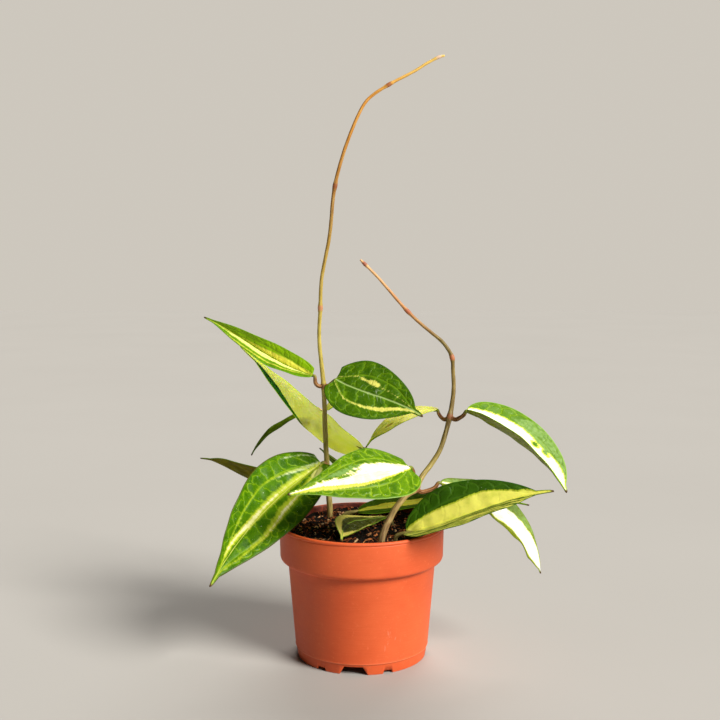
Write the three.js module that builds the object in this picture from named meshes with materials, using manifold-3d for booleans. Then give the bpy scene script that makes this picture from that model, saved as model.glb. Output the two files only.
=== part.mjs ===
// A young climbing houseplant with striped leaves, growing in a round clay-coloured plastic pot.
// Millimetres, +Z up. The origin is the middle of the flat underside of the pot.
// Seen from the front, which looks along +Y, the low stems are at the back left and the front right.
import * as THREE from 'three';
import { mergeVertices } from 'three/addons/utils/BufferGeometryUtils.js';
import Module from 'manifold-3d';

const wasm = await Module();
wasm.setup();

// Driving dimensions of the pot
const POT_HEIGHT = 97;
const RIM_RADIUS = 60;
const COLLAR_FOOT_RADIUS = 59;
const COLLAR_FOOT_HEIGHT = 73;
const WALL_TOP_RADIUS = 53.5;
const WALL_TOP_HEIGHT = 70;
const WALL_FOOT_RADIUS = 48.5;
const RIDGE_HEIGHT = 8;
const FOOT_RADIUS = 47;
const FOOT_RING_WIDTH = 4;
const WALL = 1.6;
const LIP_WIDTH = 2.8;
const LIP_HEIGHT = 2.6;
const FLOOR_UNDERSIDE = 4;
const PAD_RADIUS = 12;
const POT_SIDES = 48;

// The openings cut into the foot ring: in each third of it a wide one with a shallow one on either side
const FOOT_PLACES = 12;
const FIRST_OPENING_ANGLE = -97;
const WIDE_OPENING = { top: 13, bottom: 21, height: 6 };
const SHALLOW_OPENING = { top: 6, bottom: 8, height: 2.5 };
const OPENING_PATTERN = [WIDE_OPENING, SHALLOW_OPENING, null, SHALLOW_OPENING];

// Soil
const SEAT = 0.3;
const SOIL_LEVEL = 91;
const SOIL_BACK_RISE = 2.5;
const SOIL_RISE_START = 30;
const SOIL_RINGS = 7;
const SOIL_SPOKES = 30;
const SOIL_ROUGHNESS = 0.7;
const BARK_CHIPS = 30;
const HOLE_DEPTH = 14;

// Leaf blades and stems
const BLADE_THICK_MIDDLE = 1.2;
const BLADE_THICK_EDGE = 0.7;
const BLADE_STEPS = 14;
const BLADE_STRIPS = 8;
const SMALL_BLADE_STEPS = 10;
const SMALL_BLADE_STRIPS = 6;
const SMALL_BLADE_HALF_WIDTH = 12;
const BASE_HALF_WIDTH = 1.2;
const TIP_HALF_WIDTH = 0.4;
const STEM_SIDES = 8;
const STEM_STEP = 9;
const NODE_SWELLING = 0.35;
const NODE_LENGTH = 2.5;
const STALK_RUN = 1.6;

const LOOKS = {
  clay: { color: 0xd2603a, roughness: 0.5, metalness: 0 },
  soil: { color: 0x2b1c14, roughness: 0.95, metalness: 0 },
  bark: { color: 0x8a6a48, roughness: 0.75, metalness: 0 },
  green: { color: 0x4f8a1f, roughness: 0.3, metalness: 0 },
  pale: { color: 0xb4c85a, roughness: 0.45, metalness: 0 },
};

const UP = new THREE.Vector3(0, 0, 1);

function vec([x, y, z]) {
  return new THREE.Vector3(x, y, z);
}

function radians(degrees) {
  return THREE.MathUtils.degToRad(degrees);
}

// A small repeatable random series, so the soil is the same each time
function randomSeries(seed) {
  let state = seed;
  return (low, high) => {
    state = (state * 1664525 + 1013904223) % 4294967296;
    return low + (high - low) * (state / 4294967296);
  };
}

function geometryOf(points, triangles) {
  const geometry = new THREE.BufferGeometry();
  const flat = points.flatMap((p) => [p.x, p.y, p.z]);
  geometry.setAttribute('position', new THREE.Float32BufferAttribute(flat, 3));
  geometry.setIndex(triangles.flat());
  geometry.computeVertexNormals();
  return geometry;
}

function toSolid(geometry) {
  const bare = geometry.clone();
  bare.deleteAttribute('normal');
  bare.deleteAttribute('uv');
  const merged = mergeVertices(bare, 1e-4);
  const vertProperties = new Float32Array(merged.attributes.position.array);
  const triVerts = new Uint32Array(merged.index.array);
  return new wasm.Manifold(new wasm.Mesh({ numProp: 3, vertProperties, triVerts }));
}

function toGeometry(solid) {
  const mesh = solid.getMesh();
  const geometry = new THREE.BufferGeometry();
  geometry.setAttribute('position', new THREE.Float32BufferAttribute(mesh.vertProperties, 3));
  geometry.setIndex(Array.from(mesh.triVerts));
  geometry.computeVertexNormals();
  return geometry;
}

function mesh(name, geometry, look) {
  const piece = new THREE.Mesh(geometry, new THREE.MeshStandardMaterial(look));
  piece.name = name;
  return piece;
}

// A lathe turned about +Z from [radius, height] pairs
function turned(profile, sides) {
  const points = profile.map(([radius, height]) => new THREE.Vector2(radius, height));
  const geometry = new THREE.LatheGeometry(points, sides);
  geometry.rotateX(Math.PI / 2);
  return geometry;
}

// The pot

function innerRadius(height) {
  const collarFloor = WALL_TOP_HEIGHT + WALL;
  if (height >= collarFloor) {
    return RIM_RADIUS - LIP_WIDTH;
  }
  const rise = (height - RIDGE_HEIGHT) / (WALL_TOP_HEIGHT - RIDGE_HEIGHT);
  return WALL_FOOT_RADIUS - WALL + rise * (WALL_TOP_RADIUS - WALL_FOOT_RADIUS);
}

function potProfile() {
  const collarFloor = WALL_TOP_HEIGHT + WALL;
  const floorTop = FLOOR_UNDERSIDE + WALL;
  const under = [
    [0, 0],
    [PAD_RADIUS, 0],
    [PAD_RADIUS + 1, FLOOR_UNDERSIDE],
    [FOOT_RADIUS - FOOT_RING_WIDTH - 1, FLOOR_UNDERSIDE],
    [FOOT_RADIUS - FOOT_RING_WIDTH, 0],
    [FOOT_RADIUS - 0.5, 0],
    [FOOT_RADIUS, 0.5],
  ];
  const outside = [
    [FOOT_RADIUS + 0.6, RIDGE_HEIGHT - 0.8],
    [WALL_FOOT_RADIUS, RIDGE_HEIGHT],
    [WALL_TOP_RADIUS, WALL_TOP_HEIGHT],
    [WALL_TOP_RADIUS + 3, WALL_TOP_HEIGHT + 0.5],
    [COLLAR_FOOT_RADIUS - 0.6, COLLAR_FOOT_HEIGHT - 1],
    [COLLAR_FOOT_RADIUS, COLLAR_FOOT_HEIGHT],
    [RIM_RADIUS - 0.5, POT_HEIGHT - LIP_HEIGHT],
    [RIM_RADIUS, POT_HEIGHT - LIP_HEIGHT + 0.5],
  ];
  const lip = [
    [RIM_RADIUS, POT_HEIGHT - 0.8],
    [RIM_RADIUS - 0.8, POT_HEIGHT],
    [RIM_RADIUS - LIP_WIDTH + 0.8, POT_HEIGHT],
    [RIM_RADIUS - LIP_WIDTH, POT_HEIGHT - 0.8],
  ];
  const inside = [
    [innerRadius(POT_HEIGHT), collarFloor],
    [innerRadius(WALL_TOP_HEIGHT), collarFloor - 0.4],
    [innerRadius(floorTop), floorTop],
    [0, floorTop],
  ];
  return [...under, ...outside, ...lip, ...inside];
}

// A wedge that cuts one opening through the foot ring, widest at the bottom
function footCutter(opening, angle) {
  const outline = new THREE.Shape([
    new THREE.Vector2(-opening.bottom / 2, -1),
    new THREE.Vector2(opening.bottom / 2, -1),
    new THREE.Vector2(opening.top / 2, opening.height),
    new THREE.Vector2(-opening.top / 2, opening.height),
  ]);
  const reach = FOOT_RING_WIDTH + 6;
  const geometry = new THREE.ExtrudeGeometry(outline, { depth: reach, bevelEnabled: false });
  geometry.rotateX(Math.PI / 2);
  geometry.translate(0, FOOT_RADIUS + 3, 0);
  geometry.rotateZ(radians(angle - 90));
  return toSolid(geometry);
}

function makePot() {
  let pot = toSolid(turned(potProfile(), POT_SIDES));
  for (let i = 0; i < FOOT_PLACES; i += 1) {
    const opening = OPENING_PATTERN[i % OPENING_PATTERN.length];
    const angle = FIRST_OPENING_ANGLE + (i * 360) / FOOT_PLACES;
    if (opening) {
      pot = pot.subtract(footCutter(opening, angle));
    }
  }
  return mesh('pot', toGeometry(pot), LOOKS.clay);
}

// Stems and leaf stalks

// A round rod along a smooth curve through the stations. A station is [x, y, z, radius] and,
// on a leaf joint, a fifth value true, where the stem swells.
function rod(stations, step = STEM_STEP) {
  const path = new THREE.CatmullRomCurve3(stations.map(vec), false, 'centripetal');
  const spans = stations.length - 1;
  const count = Math.max(spans * 2, Math.ceil(path.getLength() / step));
  const joints = stations.filter((station) => station[4]).map(vec);
  const points = [];
  const triangles = [];
  let across = null;
  for (let i = 0; i <= count; i += 1) {
    const place = path.getPoint(i / count);
    const along = path.getTangent(i / count);
    across = across ?? new THREE.Vector3(0, 1, 0).cross(along);
    across.addScaledVector(along, -across.dot(along)).normalize();
    const aside = along.clone().cross(across);
    const from = Math.min(spans - 1, Math.floor((i / count) * spans));
    const share = (i / count) * spans - from;
    let radius = THREE.MathUtils.lerp(stations[from][3], stations[from + 1][3], share);
    for (const joint of joints) {
      const apart = place.distanceTo(joint) / NODE_LENGTH;
      radius *= 1 + NODE_SWELLING * Math.exp(-apart * apart);
    }
    for (let k = 0; k < STEM_SIDES; k += 1) {
      const turn = (k * 2 * Math.PI) / STEM_SIDES;
      const out = across.clone().multiplyScalar(Math.cos(turn)).addScaledVector(aside, Math.sin(turn));
      points.push(place.clone().addScaledVector(out, radius));
    }
  }
  const at = (i, k) => i * STEM_SIDES + (k % STEM_SIDES);
  for (let i = 0; i < count; i += 1) {
    for (let k = 0; k < STEM_SIDES; k += 1) {
      triangles.push([at(i, k), at(i, k + 1), at(i + 1, k + 1)], [at(i, k), at(i + 1, k + 1), at(i + 1, k)]);
    }
  }
  for (let k = 1; k < STEM_SIDES - 1; k += 1) {
    triangles.push([at(0, 0), at(0, k + 1), at(0, k)], [at(count, 0), at(count, k), at(count, k + 1)]);
  }
  return toSolid(geometryOf(points, triangles));
}

// The straight foot of a stem that stands in its hole in the soil
function foot([x, y], radius) {
  return [
    [x, y, SOIL_LEVEL - HOLE_DEPTH + 1, radius],
    [x, y, SOIL_LEVEL - 4, radius],
    [x, y, SOIL_LEVEL + 3, radius],
  ];
}

// A leaf stalk from its joint through the places given to the seat of the leaf blade
function stalkTo(leaf, stations, radius = 1.4) {
  const base = vec(leaf.base);
  const along = vec(leaf.bends[0]).sub(base).normalize();
  const seat = base.clone().addScaledVector(along, -SEAT);
  const before = base.clone().addScaledVector(along, -STALK_RUN);
  return [...stations, [before.x, before.y, before.z, radius], [seat.x, seat.y, seat.z, radius]];
}

// Leaves

// A leaf is the course of its midrib and the way its blade stands on it.
// base, bends and tip are the midrib's start, the two handles that bend it, and its end.
// tilt rolls the blade about the midrib, in degrees, and twist is how much further it rolls by the tip.
// half is the widest half width. shoulder and taper say how blunt the base is and how fast the blade
// runs out, drip is the share of the length in the thin drip tip, and lobe is how far the two sides
// of the base bulge back past the stalk. folds are the degrees by which the left and right half rise
// from the midrib, and curls how many more degrees they turn out to the margin.
const LEAVES = {
  leaf_upper_left: {
    base: [-36, 21, 201], bends: [[-69, 31, 209], [-92, 41, 232]], tip: [-119, 49, 242],
    tilt: 44, twist: 39, half: 10.5, shoulder: 0.5, taper: 1.15, drip: 0.08,
    lobe: 2, folds: [36, 36], curls: [0, 0],
  },
  leaf_upper_right: {
    base: [-19, 15, 199], bends: [[1, 2, 189], [25, 1, 187]], tip: [43, -14, 176],
    tilt: -48, twist: -5, half: 24, shoulder: 0.5, taper: 0.9, drip: 0.11,
    lobe: 2, folds: [3, 14], curls: [0, 0],
  },
  leaf_pale_back: {
    base: [1, 47, 142], bends: [[-23, 50, 153], [-52, 57, 183]], tip: [-93, 59, 219],
    tilt: -44, twist: -6, half: 18.5, shoulder: 0.6, taper: 1.05, drip: 0.1,
    lobe: 0, folds: [-16, -6], curls: [0, -17],
  },
  leaf_front_white: {
    base: [33, -30, 143], bends: [[9, -50, 148], [-17, -64, 140]], tip: [-49, -70, 133],
    tilt: 32, twist: 18, half: 25, shoulder: 0.5, taper: 1.3, drip: 0.08,
    lobe: 3, folds: [0, -12], curls: [0, 0],
  },
  leaf_back_right: {
    base: [55, 8, 178], bends: [[32, 16, 177], [17, 14, 171]], tip: [3, 17, 148],
    tilt: -3, twist: 31, half: 14, shoulder: 0.65, taper: 1.05, drip: 0.09,
    lobe: 0, folds: [-8, 3], curls: [0, 0],
  },
  leaf_arching_right: {
    base: [74, -16, 181], bends: [[106, -10, 163], [132, -16, 147]], tip: [141, -38, 127],
    tilt: -21, twist: -16, half: 20.5, shoulder: 0.65, taper: 0.95, drip: 0.06,
    lobe: 0, folds: [33, 35], curls: [0, 0],
  },
  leaf_low_right: {
    base: [31, -34, 97.5], bends: [[59, -46, 105], [91, -46, 125]], tip: [130, -51, 131],
    tilt: -36, twist: -9, half: 24, shoulder: 0.7, taper: 1, drip: 0.1,
    lobe: 2, folds: [36, 36], curls: [0, 0],
  },
  leaf_drooping_right: {
    base: [56, -17, 129], bends: [[99, -14, 123], [119, -13, 98]], tip: [129, -9, 61],
    tilt: -25, twist: -21, half: 16.5, shoulder: 0.6, taper: 0.8, drip: 0.04,
    lobe: 1, folds: [-9, 4], curls: [0, 0],
  },
  leaf_low_back: {
    base: [-3, 30, 97], bends: [[40, 25, 107], [83, 17, 114]], tip: [122, 4, 108],
    tilt: -21, twist: 15, half: 14, shoulder: 0.55, taper: 1.1, drip: 0.08,
    lobe: 0, folds: [3, 12], curls: [0, 0],
  },
  leaf_small_low: {
    base: [18, 8, 98], bends: [[-10, 7, 95], [-14, -12, 101]], tip: [-14, -42, 94],
    tilt: 4, twist: 46, half: 10, shoulder: 0.65, taper: 0.85, drip: 0.09,
    lobe: 0, folds: [4, -6], curls: [0, 0],
  },
  leaf_large_left: {
    base: [-30, 27, 134], bends: [[-61, -8, 118], [-85, -40, 99]], tip: [-101, -71, 71],
    tilt: 28, twist: 52, half: 26.5, shoulder: 0.6, taper: 1.05, drip: 0.07,
    lobe: 2, folds: [28, 20], curls: [0, 0],
  },
  leaf_far_left: {
    base: [-47, 38, 120], bends: [[-79, 47, 114], [-100, 62, 130]], tip: [-127, 73, 129],
    tilt: -42, twist: -4, half: 14, shoulder: 0.65, taper: 1.05, drip: 0.11,
    lobe: 0, folds: [-5, 1], curls: [0, 0],
  },
  leaf_thin_left: {
    base: [-36, 69, 169], bends: [[-57, 77, 163], [-80, 80, 147]], tip: [-88, 85, 129],
    tilt: 3, twist: 26, half: 9.5, shoulder: 0.6, taper: 0.95, drip: 0.07,
    lobe: 0, folds: [1, 3], curls: [0, 0],
  },
  leaf_hidden_tip: {
    base: [12, 45, 120], bends: [[-4, 41, 121], [-18, 41, 132]], tip: [-32, 47, 142],
    tilt: 13, twist: 5, half: 8.5, shoulder: 0.6, taper: 0.9, drip: 0.07,
    lobe: 0, folds: [-12, -17], curls: [0, 0],
  },
  leaf_young: {
    base: [-27, 67, 169], bends: [[-24, 66, 173], [-19, 66, 176]], tip: [-14, 68, 179],
    tilt: -38, twist: -3, half: 4.5, shoulder: 0.6, taper: 1, drip: 0.08,
    lobe: 0, folds: [2, 4], curls: [0, 0],
  },
};
const PALE_LEAVES = ['leaf_pale_back', 'leaf_back_right', 'leaf_young'];

function smooth(value) {
  const x = THREE.MathUtils.clamp(value, 0, 1);
  return x * x * (3 - 2 * x);
}

// Half width of the blade at a share t of its length
function halfWidth(leaf, t) {
  const widest = leaf.shoulder / (leaf.shoulder + leaf.taper);
  const u = Math.min(1, t / (1 - leaf.drip));
  const body = (u / widest) ** leaf.shoulder * ((1 - u) / (1 - widest)) ** leaf.taper;
  const dripShape = smooth((t - 0.5) / (0.5 - leaf.drip)) * Math.min(1, (1 - t) / leaf.drip) ** 0.6;
  const stalkEnd = (BASE_HALF_WIDTH - TIP_HALF_WIDTH) * (1 - t) ** 8;
  return leaf.half * (body + 0.07 * dripShape) + TIP_HALF_WIDTH + stalkEnd;
}

// Places and directions along the midrib: along it, across the blade and out of its upper face
function midribFrames(leaf, steps) {
  const curve = new THREE.CubicBezierCurve3(...[leaf.base, ...leaf.bends, leaf.tip].map(vec));
  const frames = [];
  let across = null;
  for (let i = 0; i <= steps; i += 1) {
    const t = (i / steps) ** 1.4;
    const along = curve.getTangent(t);
    across = across ?? along.clone().cross(UP);
    across.addScaledVector(along, -across.dot(along)).normalize();
    const face = across.clone().cross(along);
    const roll = radians(leaf.tilt + leaf.twist * t);
    frames.push({
      t,
      place: curve.getPoint(t),
      along,
      across: across.clone().multiplyScalar(Math.cos(roll)).addScaledVector(face, Math.sin(roll)),
      face: face.clone().multiplyScalar(Math.cos(roll)).addScaledVector(across, -Math.sin(roll)),
    });
  }
  return frames;
}

// Where a point s of the way out to a margin lies, for a half blade that folds up and then curls
function halfSection(leaf, s) {
  const side = s < 0 ? 0 : 1;
  const out = Math.abs(s);
  const fold = radians(leaf.folds[side]);
  const curl = radians(leaf.curls[side]) || 1e-5;
  const angle = fold + curl * out;
  return {
    across: (Math.sign(s) * (Math.sin(angle) - Math.sin(fold))) / curl,
    rise: (Math.cos(fold) - Math.cos(angle)) / curl,
    lean: s === 0 ? 0 : Math.sign(s) * angle,
  };
}

function bladePoint(leaf, frame, s, lift) {
  const section = halfSection(leaf, s);
  const width = halfWidth(leaf, frame.t);
  const back = leaf.lobe * Math.abs(s) ** 1.5 * (1 - frame.t) ** 6 * Math.min(1, frame.t / 0.02);
  return frame.place.clone()
    .addScaledVector(frame.across, section.across * width - lift * Math.sin(section.lean))
    .addScaledVector(frame.face, section.rise * width + lift * Math.cos(section.lean))
    .addScaledVector(frame.along, -back);
}

// The blade as a thin closed solid, with both faces split into triangles the same way
function makeBlade(name) {
  const leaf = LEAVES[name];
  const small = leaf.half < SMALL_BLADE_HALF_WIDTH;
  const steps = small ? SMALL_BLADE_STEPS : BLADE_STEPS;
  const strips = small ? SMALL_BLADE_STRIPS : BLADE_STRIPS;
  const frames = midribFrames(leaf, steps);
  const columns = strips + 1;
  const faces = [1, -1].map((side) => frames.flatMap((frame) => {
    const row = [];
    for (let j = 0; j < columns; j += 1) {
      const s = (2 * j) / strips - 1;
      const thick = THREE.MathUtils.lerp(BLADE_THICK_MIDDLE, BLADE_THICK_EDGE, Math.abs(s));
      row.push(bladePoint(leaf, frame, s, (side * thick) / 2));
    }
    return row;
  }));
  const top = (i, j) => i * columns + j;
  const under = (i, j) => faces[0].length + top(i, j);
  const triangles = [];
  const wall = (a, b, c, d) => triangles.push([a, b, c], [a, c, d]);
  for (let i = 0; i < steps; i += 1) {
    for (let j = 0; j < strips; j += 1) {
      triangles.push([top(i, j), top(i, j + 1), top(i + 1, j)]);
      triangles.push([top(i, j + 1), top(i + 1, j + 1), top(i + 1, j)]);
      triangles.push([under(i, j), under(i + 1, j), under(i, j + 1)]);
      triangles.push([under(i, j + 1), under(i + 1, j), under(i + 1, j + 1)]);
    }
    wall(top(i, 0), top(i + 1, 0), under(i + 1, 0), under(i, 0));
    wall(top(i + 1, strips), top(i, strips), under(i, strips), under(i + 1, strips));
  }
  for (let j = 0; j < strips; j += 1) {
    wall(top(0, j + 1), top(0, j), under(0, j), under(0, j + 1));
    wall(top(steps, j), top(steps, j + 1), under(steps, j + 1), under(steps, j));
  }
  const look = PALE_LEAVES.includes(name) ? LOOKS.pale : LOOKS.green;
  return mesh(name, geometryOf(faces.flat(), triangles), look);
}

// The stems, each with the stalks of the leaves that grow from its joints

const ROOTS = {
  stem_left: { at: [-24, 35], radius: 2.3 },
  stem_right: { at: [14, -34], radius: 2.5 },
  stem_back: { at: [18, 44], radius: 2.2 },
  stalk_low_right: { at: [24, -31], radius: 1.7 },
  stalk_low_back: { at: [-13, 31], radius: 1.7 },
  stalk_small_low: { at: [22, 10], radius: 1.6 },
  stalk_far_left: { at: [-50, 10], radius: 1.7 },
};

function rooted(name) {
  const root = ROOTS[name];
  return foot(root.at, root.radius);
}

function fused(rods) {
  return toGeometry(rods.reduce((whole, part) => whole.add(part)));
}

function makeLeftStem() {
  const lowJoint = [-26, 31, 133, 2, true];
  const leafJoint = [-28, 23, 193, 1.7, true];
  const main = rod([
    ...rooted('stem_left'), lowJoint, [-27, 28, 155, 1.8], leafJoint, [-31, 20, 228, 1.4],
    [-30, 17, 251, 1.4, true], [-29, 15, 271, 1.3], [-23, 11, 303, 1.3], [-19, 8, 338, 1.3, true],
    [-10, 6, 369, 1.2], [2, 5, 395, 1.1], [8, 5, 401, 1.1], [19, 5, 408, 1.1, true], [38, 6, 418, 1],
    [46, 6, 423, 1], [54, 6, 427, 0.9, true], [58, 6, 428, 0.6],
  ]);
  const toUpperLeft = stalkTo(LEAVES.leaf_upper_left, [
    leafJoint, [-31.8, 22.5, 193, 1.5], [-33.9, 22, 195.3, 1.5],
  ]);
  const toUpperRight = stalkTo(LEAVES.leaf_upper_right, [
    leafJoint, [-24.5, 21.5, 194.5, 1.5], [-21.5, 18.5, 197.5, 1.4],
  ]);
  const toLargeLeft = stalkTo(LEAVES.leaf_large_left, [lowJoint], 1.5);
  const stalks = [toUpperLeft, toUpperRight, toLargeLeft].map((stations) => rod(stations, 3));
  return mesh('stem_left', fused([main, ...stalks]), LOOKS.bark);
}

function makeRightStem() {
  const lowJoint = [38, -22, 126, 2, true];
  const leafJoint = [63, -2, 174, 1.8, true];
  const main = rod([
    ...rooted('stem_right'), [23, -30, 113, 2.2], [31, -26, 122, 2], lowJoint, [42, -18, 133, 1.9],
    [51, -12, 144, 1.8], [56, -9, 152, 1.7], leafJoint, [66, 2, 193, 1.5], [65, 4, 207, 1.4],
    [62, 5, 220, 1.4], [55, 6, 229, 1.3], [47, 7, 236, 1.3], [40, 7, 244, 1.2], [33, 7, 249, 1.2, true],
    [11, 7, 274, 1], [2, 7, 283, 1, true], [-1, 7, 286, 0.6],
  ]);
  const toBackRight = stalkTo(LEAVES.leaf_back_right, [
    leafJoint, [60.2, 0, 171.7, 1.6], [57.9, 2.5, 172.8, 1.5], [56.6, 5.2, 175.2, 1.5],
  ]);
  const toArching = stalkTo(LEAVES.leaf_arching_right, [
    leafJoint, [66, -4, 172.4, 1.6], [69, -8.5, 174, 1.5], [71.6, -13, 177.6, 1.5],
  ]);
  const toDrooping = stalkTo(LEAVES.leaf_drooping_right, [
    lowJoint, [41.8, -20, 123.3, 1.6], [46.8, -19, 124.1, 1.5], [51.8, -18, 126.1, 1.5],
  ]);
  const toFrontWhite = stalkTo(LEAVES.leaf_front_white, [
    lowJoint, [36.5, -23, 132, 1.5], [36, -25.5, 138.5, 1.5],
  ]);
  const stalks = [toBackRight, toArching, toDrooping, toFrontWhite].map((stations) => rod(stations, 3));
  return mesh('stem_right', fused([main, ...stalks]), LOOKS.bark);
}

function makeBackStem() {
  const lowJoint = [18, 48, 118, 2, true];
  const leafJoint = [17, 54, 134, 2, true];
  const endJoint = [-31, 69, 166, 1.6, true];
  const main = rod([
    ...rooted('stem_back'), lowJoint, leafJoint, [10, 60, 134, 1.8], [1, 65, 136, 1.7],
    [-6, 69, 139, 1.7], [-13, 71, 145, 1.7], [-23, 71, 155, 1.6], endJoint,
  ]);
  const toPaleBack = stalkTo(LEAVES.leaf_pale_back, [leafJoint, [12, 52, 138, 1.5], [7, 49, 140, 1.5]]);
  const toHiddenTip = stalkTo(LEAVES.leaf_hidden_tip, [lowJoint], 1.3);
  const toThinLeft = stalkTo(LEAVES.leaf_thin_left, [endJoint], 1.3);
  const toYoung = stalkTo(LEAVES.leaf_young, [endJoint], 1.1);
  const stalks = [toPaleBack, toHiddenTip, toThinLeft, toYoung].map((stations) => rod(stations, 3));
  return mesh('stem_back', fused([main, ...stalks]), LOOKS.bark);
}

// The stalks of the four leaves that rise straight from the soil
function makeGroundStalks() {
  const courses = {
    stalk_low_right: stalkTo(LEAVES.leaf_low_right, rooted('stalk_low_right'), 1.5),
    stalk_low_back: stalkTo(LEAVES.leaf_low_back, rooted('stalk_low_back'), 1.5),
    stalk_small_low: stalkTo(LEAVES.leaf_small_low, rooted('stalk_small_low')),
    stalk_far_left: stalkTo(LEAVES.leaf_far_left, [
      ...rooted('stalk_far_left'), [-48, 18, 105, 1.6], [-43, 29, 116, 1.5], [-42, 35, 119, 1.5],
    ]),
  };
  return Object.entries(courses).map(([name, stations]) => mesh(name, fused([rod(stations, 3)]), LOOKS.bark));
}

// The soil, with bark chips lying on it and a plain hole for each stem

function soilHeight(x, y) {
  const ripple = Math.sin(x * 0.31 + 1.3) * Math.cos(y * 0.27) + 0.6 * Math.sin(x * 0.11 - y * 0.43);
  const back = smooth((y - SOIL_RISE_START) / (RIM_RADIUS - SOIL_RISE_START));
  return SOIL_LEVEL + SOIL_BACK_RISE * back + SOIL_ROUGHNESS * ripple;
}

function soilBody() {
  const floor = FLOOR_UNDERSIDE + WALL + SEAT;
  const collarFloor = WALL_TOP_HEIGHT + WALL + SEAT;
  const edge = RIM_RADIUS - LIP_WIDTH - SEAT;
  const sides = [
    [edge, collarFloor],
    [innerRadius(WALL_TOP_HEIGHT) - SEAT, collarFloor - 0.4],
    [innerRadius(floor) - SEAT, floor],
  ];
  const points = [new THREE.Vector3(0, 0, soilHeight(0, 0))];
  const around = (radius, k) => {
    const turn = (k * 2 * Math.PI) / SOIL_SPOKES;
    return [radius * Math.cos(turn), radius * Math.sin(turn)];
  };
  for (let ring = 1; ring <= SOIL_RINGS; ring += 1) {
    for (let k = 0; k < SOIL_SPOKES; k += 1) {
      const [x, y] = around((edge * ring) / SOIL_RINGS, k);
      points.push(new THREE.Vector3(x, y, soilHeight(x, y)));
    }
  }
  for (const [radius, height] of sides) {
    for (let k = 0; k < SOIL_SPOKES; k += 1) {
      const [x, y] = around(radius, k);
      points.push(new THREE.Vector3(x, y, height));
    }
  }
  points.push(new THREE.Vector3(0, 0, floor));
  const rings = SOIL_RINGS + sides.length;
  const at = (ring, k) => 1 + ring * SOIL_SPOKES + (k % SOIL_SPOKES);
  const triangles = [];
  for (let k = 0; k < SOIL_SPOKES; k += 1) {
    triangles.push([0, at(0, k), at(0, k + 1)], [points.length - 1, at(rings - 1, k + 1), at(rings - 1, k)]);
    for (let ring = 0; ring < rings - 1; ring += 1) {
      triangles.push([at(ring, k), at(ring + 1, k), at(ring + 1, k + 1)]);
      triangles.push([at(ring, k), at(ring + 1, k + 1), at(ring, k + 1)]);
    }
  }
  return toSolid(geometryOf(points, triangles));
}

// Chips keep clear of the stems and of the small leaf that hangs low over the soil
function chipFits(x, y) {
  const clearOfRoots = Object.values(ROOTS).every(({ at }) => Math.hypot(x - at[0], y - at[1]) > 8);
  const underSmallLeaf = Math.abs(y + 8) < 40 && x > -24 && x < 16;
  const underLowLeaf = x > 10 && y < -18;
  return clearOfRoots && !underSmallLeaf && !underLowLeaf;
}

function barkChip(random, x, y) {
  const chip = new THREE.BoxGeometry(random(3, 7), random(2, 4), random(1.5, 2.5));
  chip.rotateX(random(-0.35, 0.35));
  chip.rotateY(random(-0.3, 0.3));
  chip.rotateZ(random(0, Math.PI));
  chip.translate(x, y, soilHeight(x, y));
  return toSolid(chip);
}

function makeSoil() {
  const random = randomSeries(7);
  let soil = soilBody();
  let placed = 0;
  while (placed < BARK_CHIPS) {
    const turn = random(0, 2 * Math.PI);
    const distance = (RIM_RADIUS - LIP_WIDTH - 6) * Math.sqrt(random(0, 1));
    const x = distance * Math.cos(turn);
    const y = distance * Math.sin(turn);
    if (chipFits(x, y)) {
      soil = soil.add(barkChip(random, x, y));
      placed += 1;
    }
  }
  for (const { at, radius } of Object.values(ROOTS)) {
    const hole = new THREE.CylinderGeometry(radius + SEAT, radius + SEAT, HOLE_DEPTH + 10, STEM_SIDES * 2);
    hole.rotateX(Math.PI / 2);
    hole.translate(at[0], at[1], SOIL_LEVEL - HOLE_DEPTH + (HOLE_DEPTH + 10) / 2);
    soil = soil.subtract(toSolid(hole));
  }
  return mesh('soil', toGeometry(soil), LOOKS.soil);
}

const plant = new THREE.Group();
plant.add(makePot(), makeSoil(), makeLeftStem(), makeRightStem(), makeBackStem(), ...makeGroundStalks());
plant.add(...Object.keys(LEAVES).map(makeBlade));

export default plant;
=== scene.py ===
# %% [markdown]
# # A potted hoya, dressed on its measured frame
# The plant is a young waxy-leaved climber in a small plastic nursery pot. The frame that is loaded
# here holds every leaf, stem and the pot as plain solids in their right places. This lesson gives
# each of them its finer form and its finish: veins, cream markings, bark chips and moulded plastic.
# All the sizes below are in millimetres, and a mesh is turned into metres when it is made.

import math
from types import SimpleNamespace

import bmesh
import bpy
import numpy as np
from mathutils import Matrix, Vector


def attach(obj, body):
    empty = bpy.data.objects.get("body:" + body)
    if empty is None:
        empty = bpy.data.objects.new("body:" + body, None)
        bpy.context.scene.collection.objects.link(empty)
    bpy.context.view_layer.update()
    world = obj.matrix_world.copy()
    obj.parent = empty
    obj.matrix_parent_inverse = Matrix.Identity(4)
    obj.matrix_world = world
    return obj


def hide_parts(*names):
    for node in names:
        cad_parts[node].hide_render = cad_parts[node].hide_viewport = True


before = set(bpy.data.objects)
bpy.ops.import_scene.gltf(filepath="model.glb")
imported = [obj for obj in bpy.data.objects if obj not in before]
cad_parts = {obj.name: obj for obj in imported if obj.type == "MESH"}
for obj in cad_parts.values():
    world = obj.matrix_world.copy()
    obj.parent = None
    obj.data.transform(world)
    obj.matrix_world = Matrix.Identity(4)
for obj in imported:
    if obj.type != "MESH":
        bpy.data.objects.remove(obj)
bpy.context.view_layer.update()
MM = 0.001
print("nodes in the frame:", len(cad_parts))

# %% [markdown]
# # Camera
# A camera that stands about 0.8 m away and looks slightly down sees the rim of the pot as a thin
# ellipse, which is what fixes its height and tilt. A 55 mm lens keeps the pot's sides nearly
# upright. Depth of field stays off so that every leaf is sharp.

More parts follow.
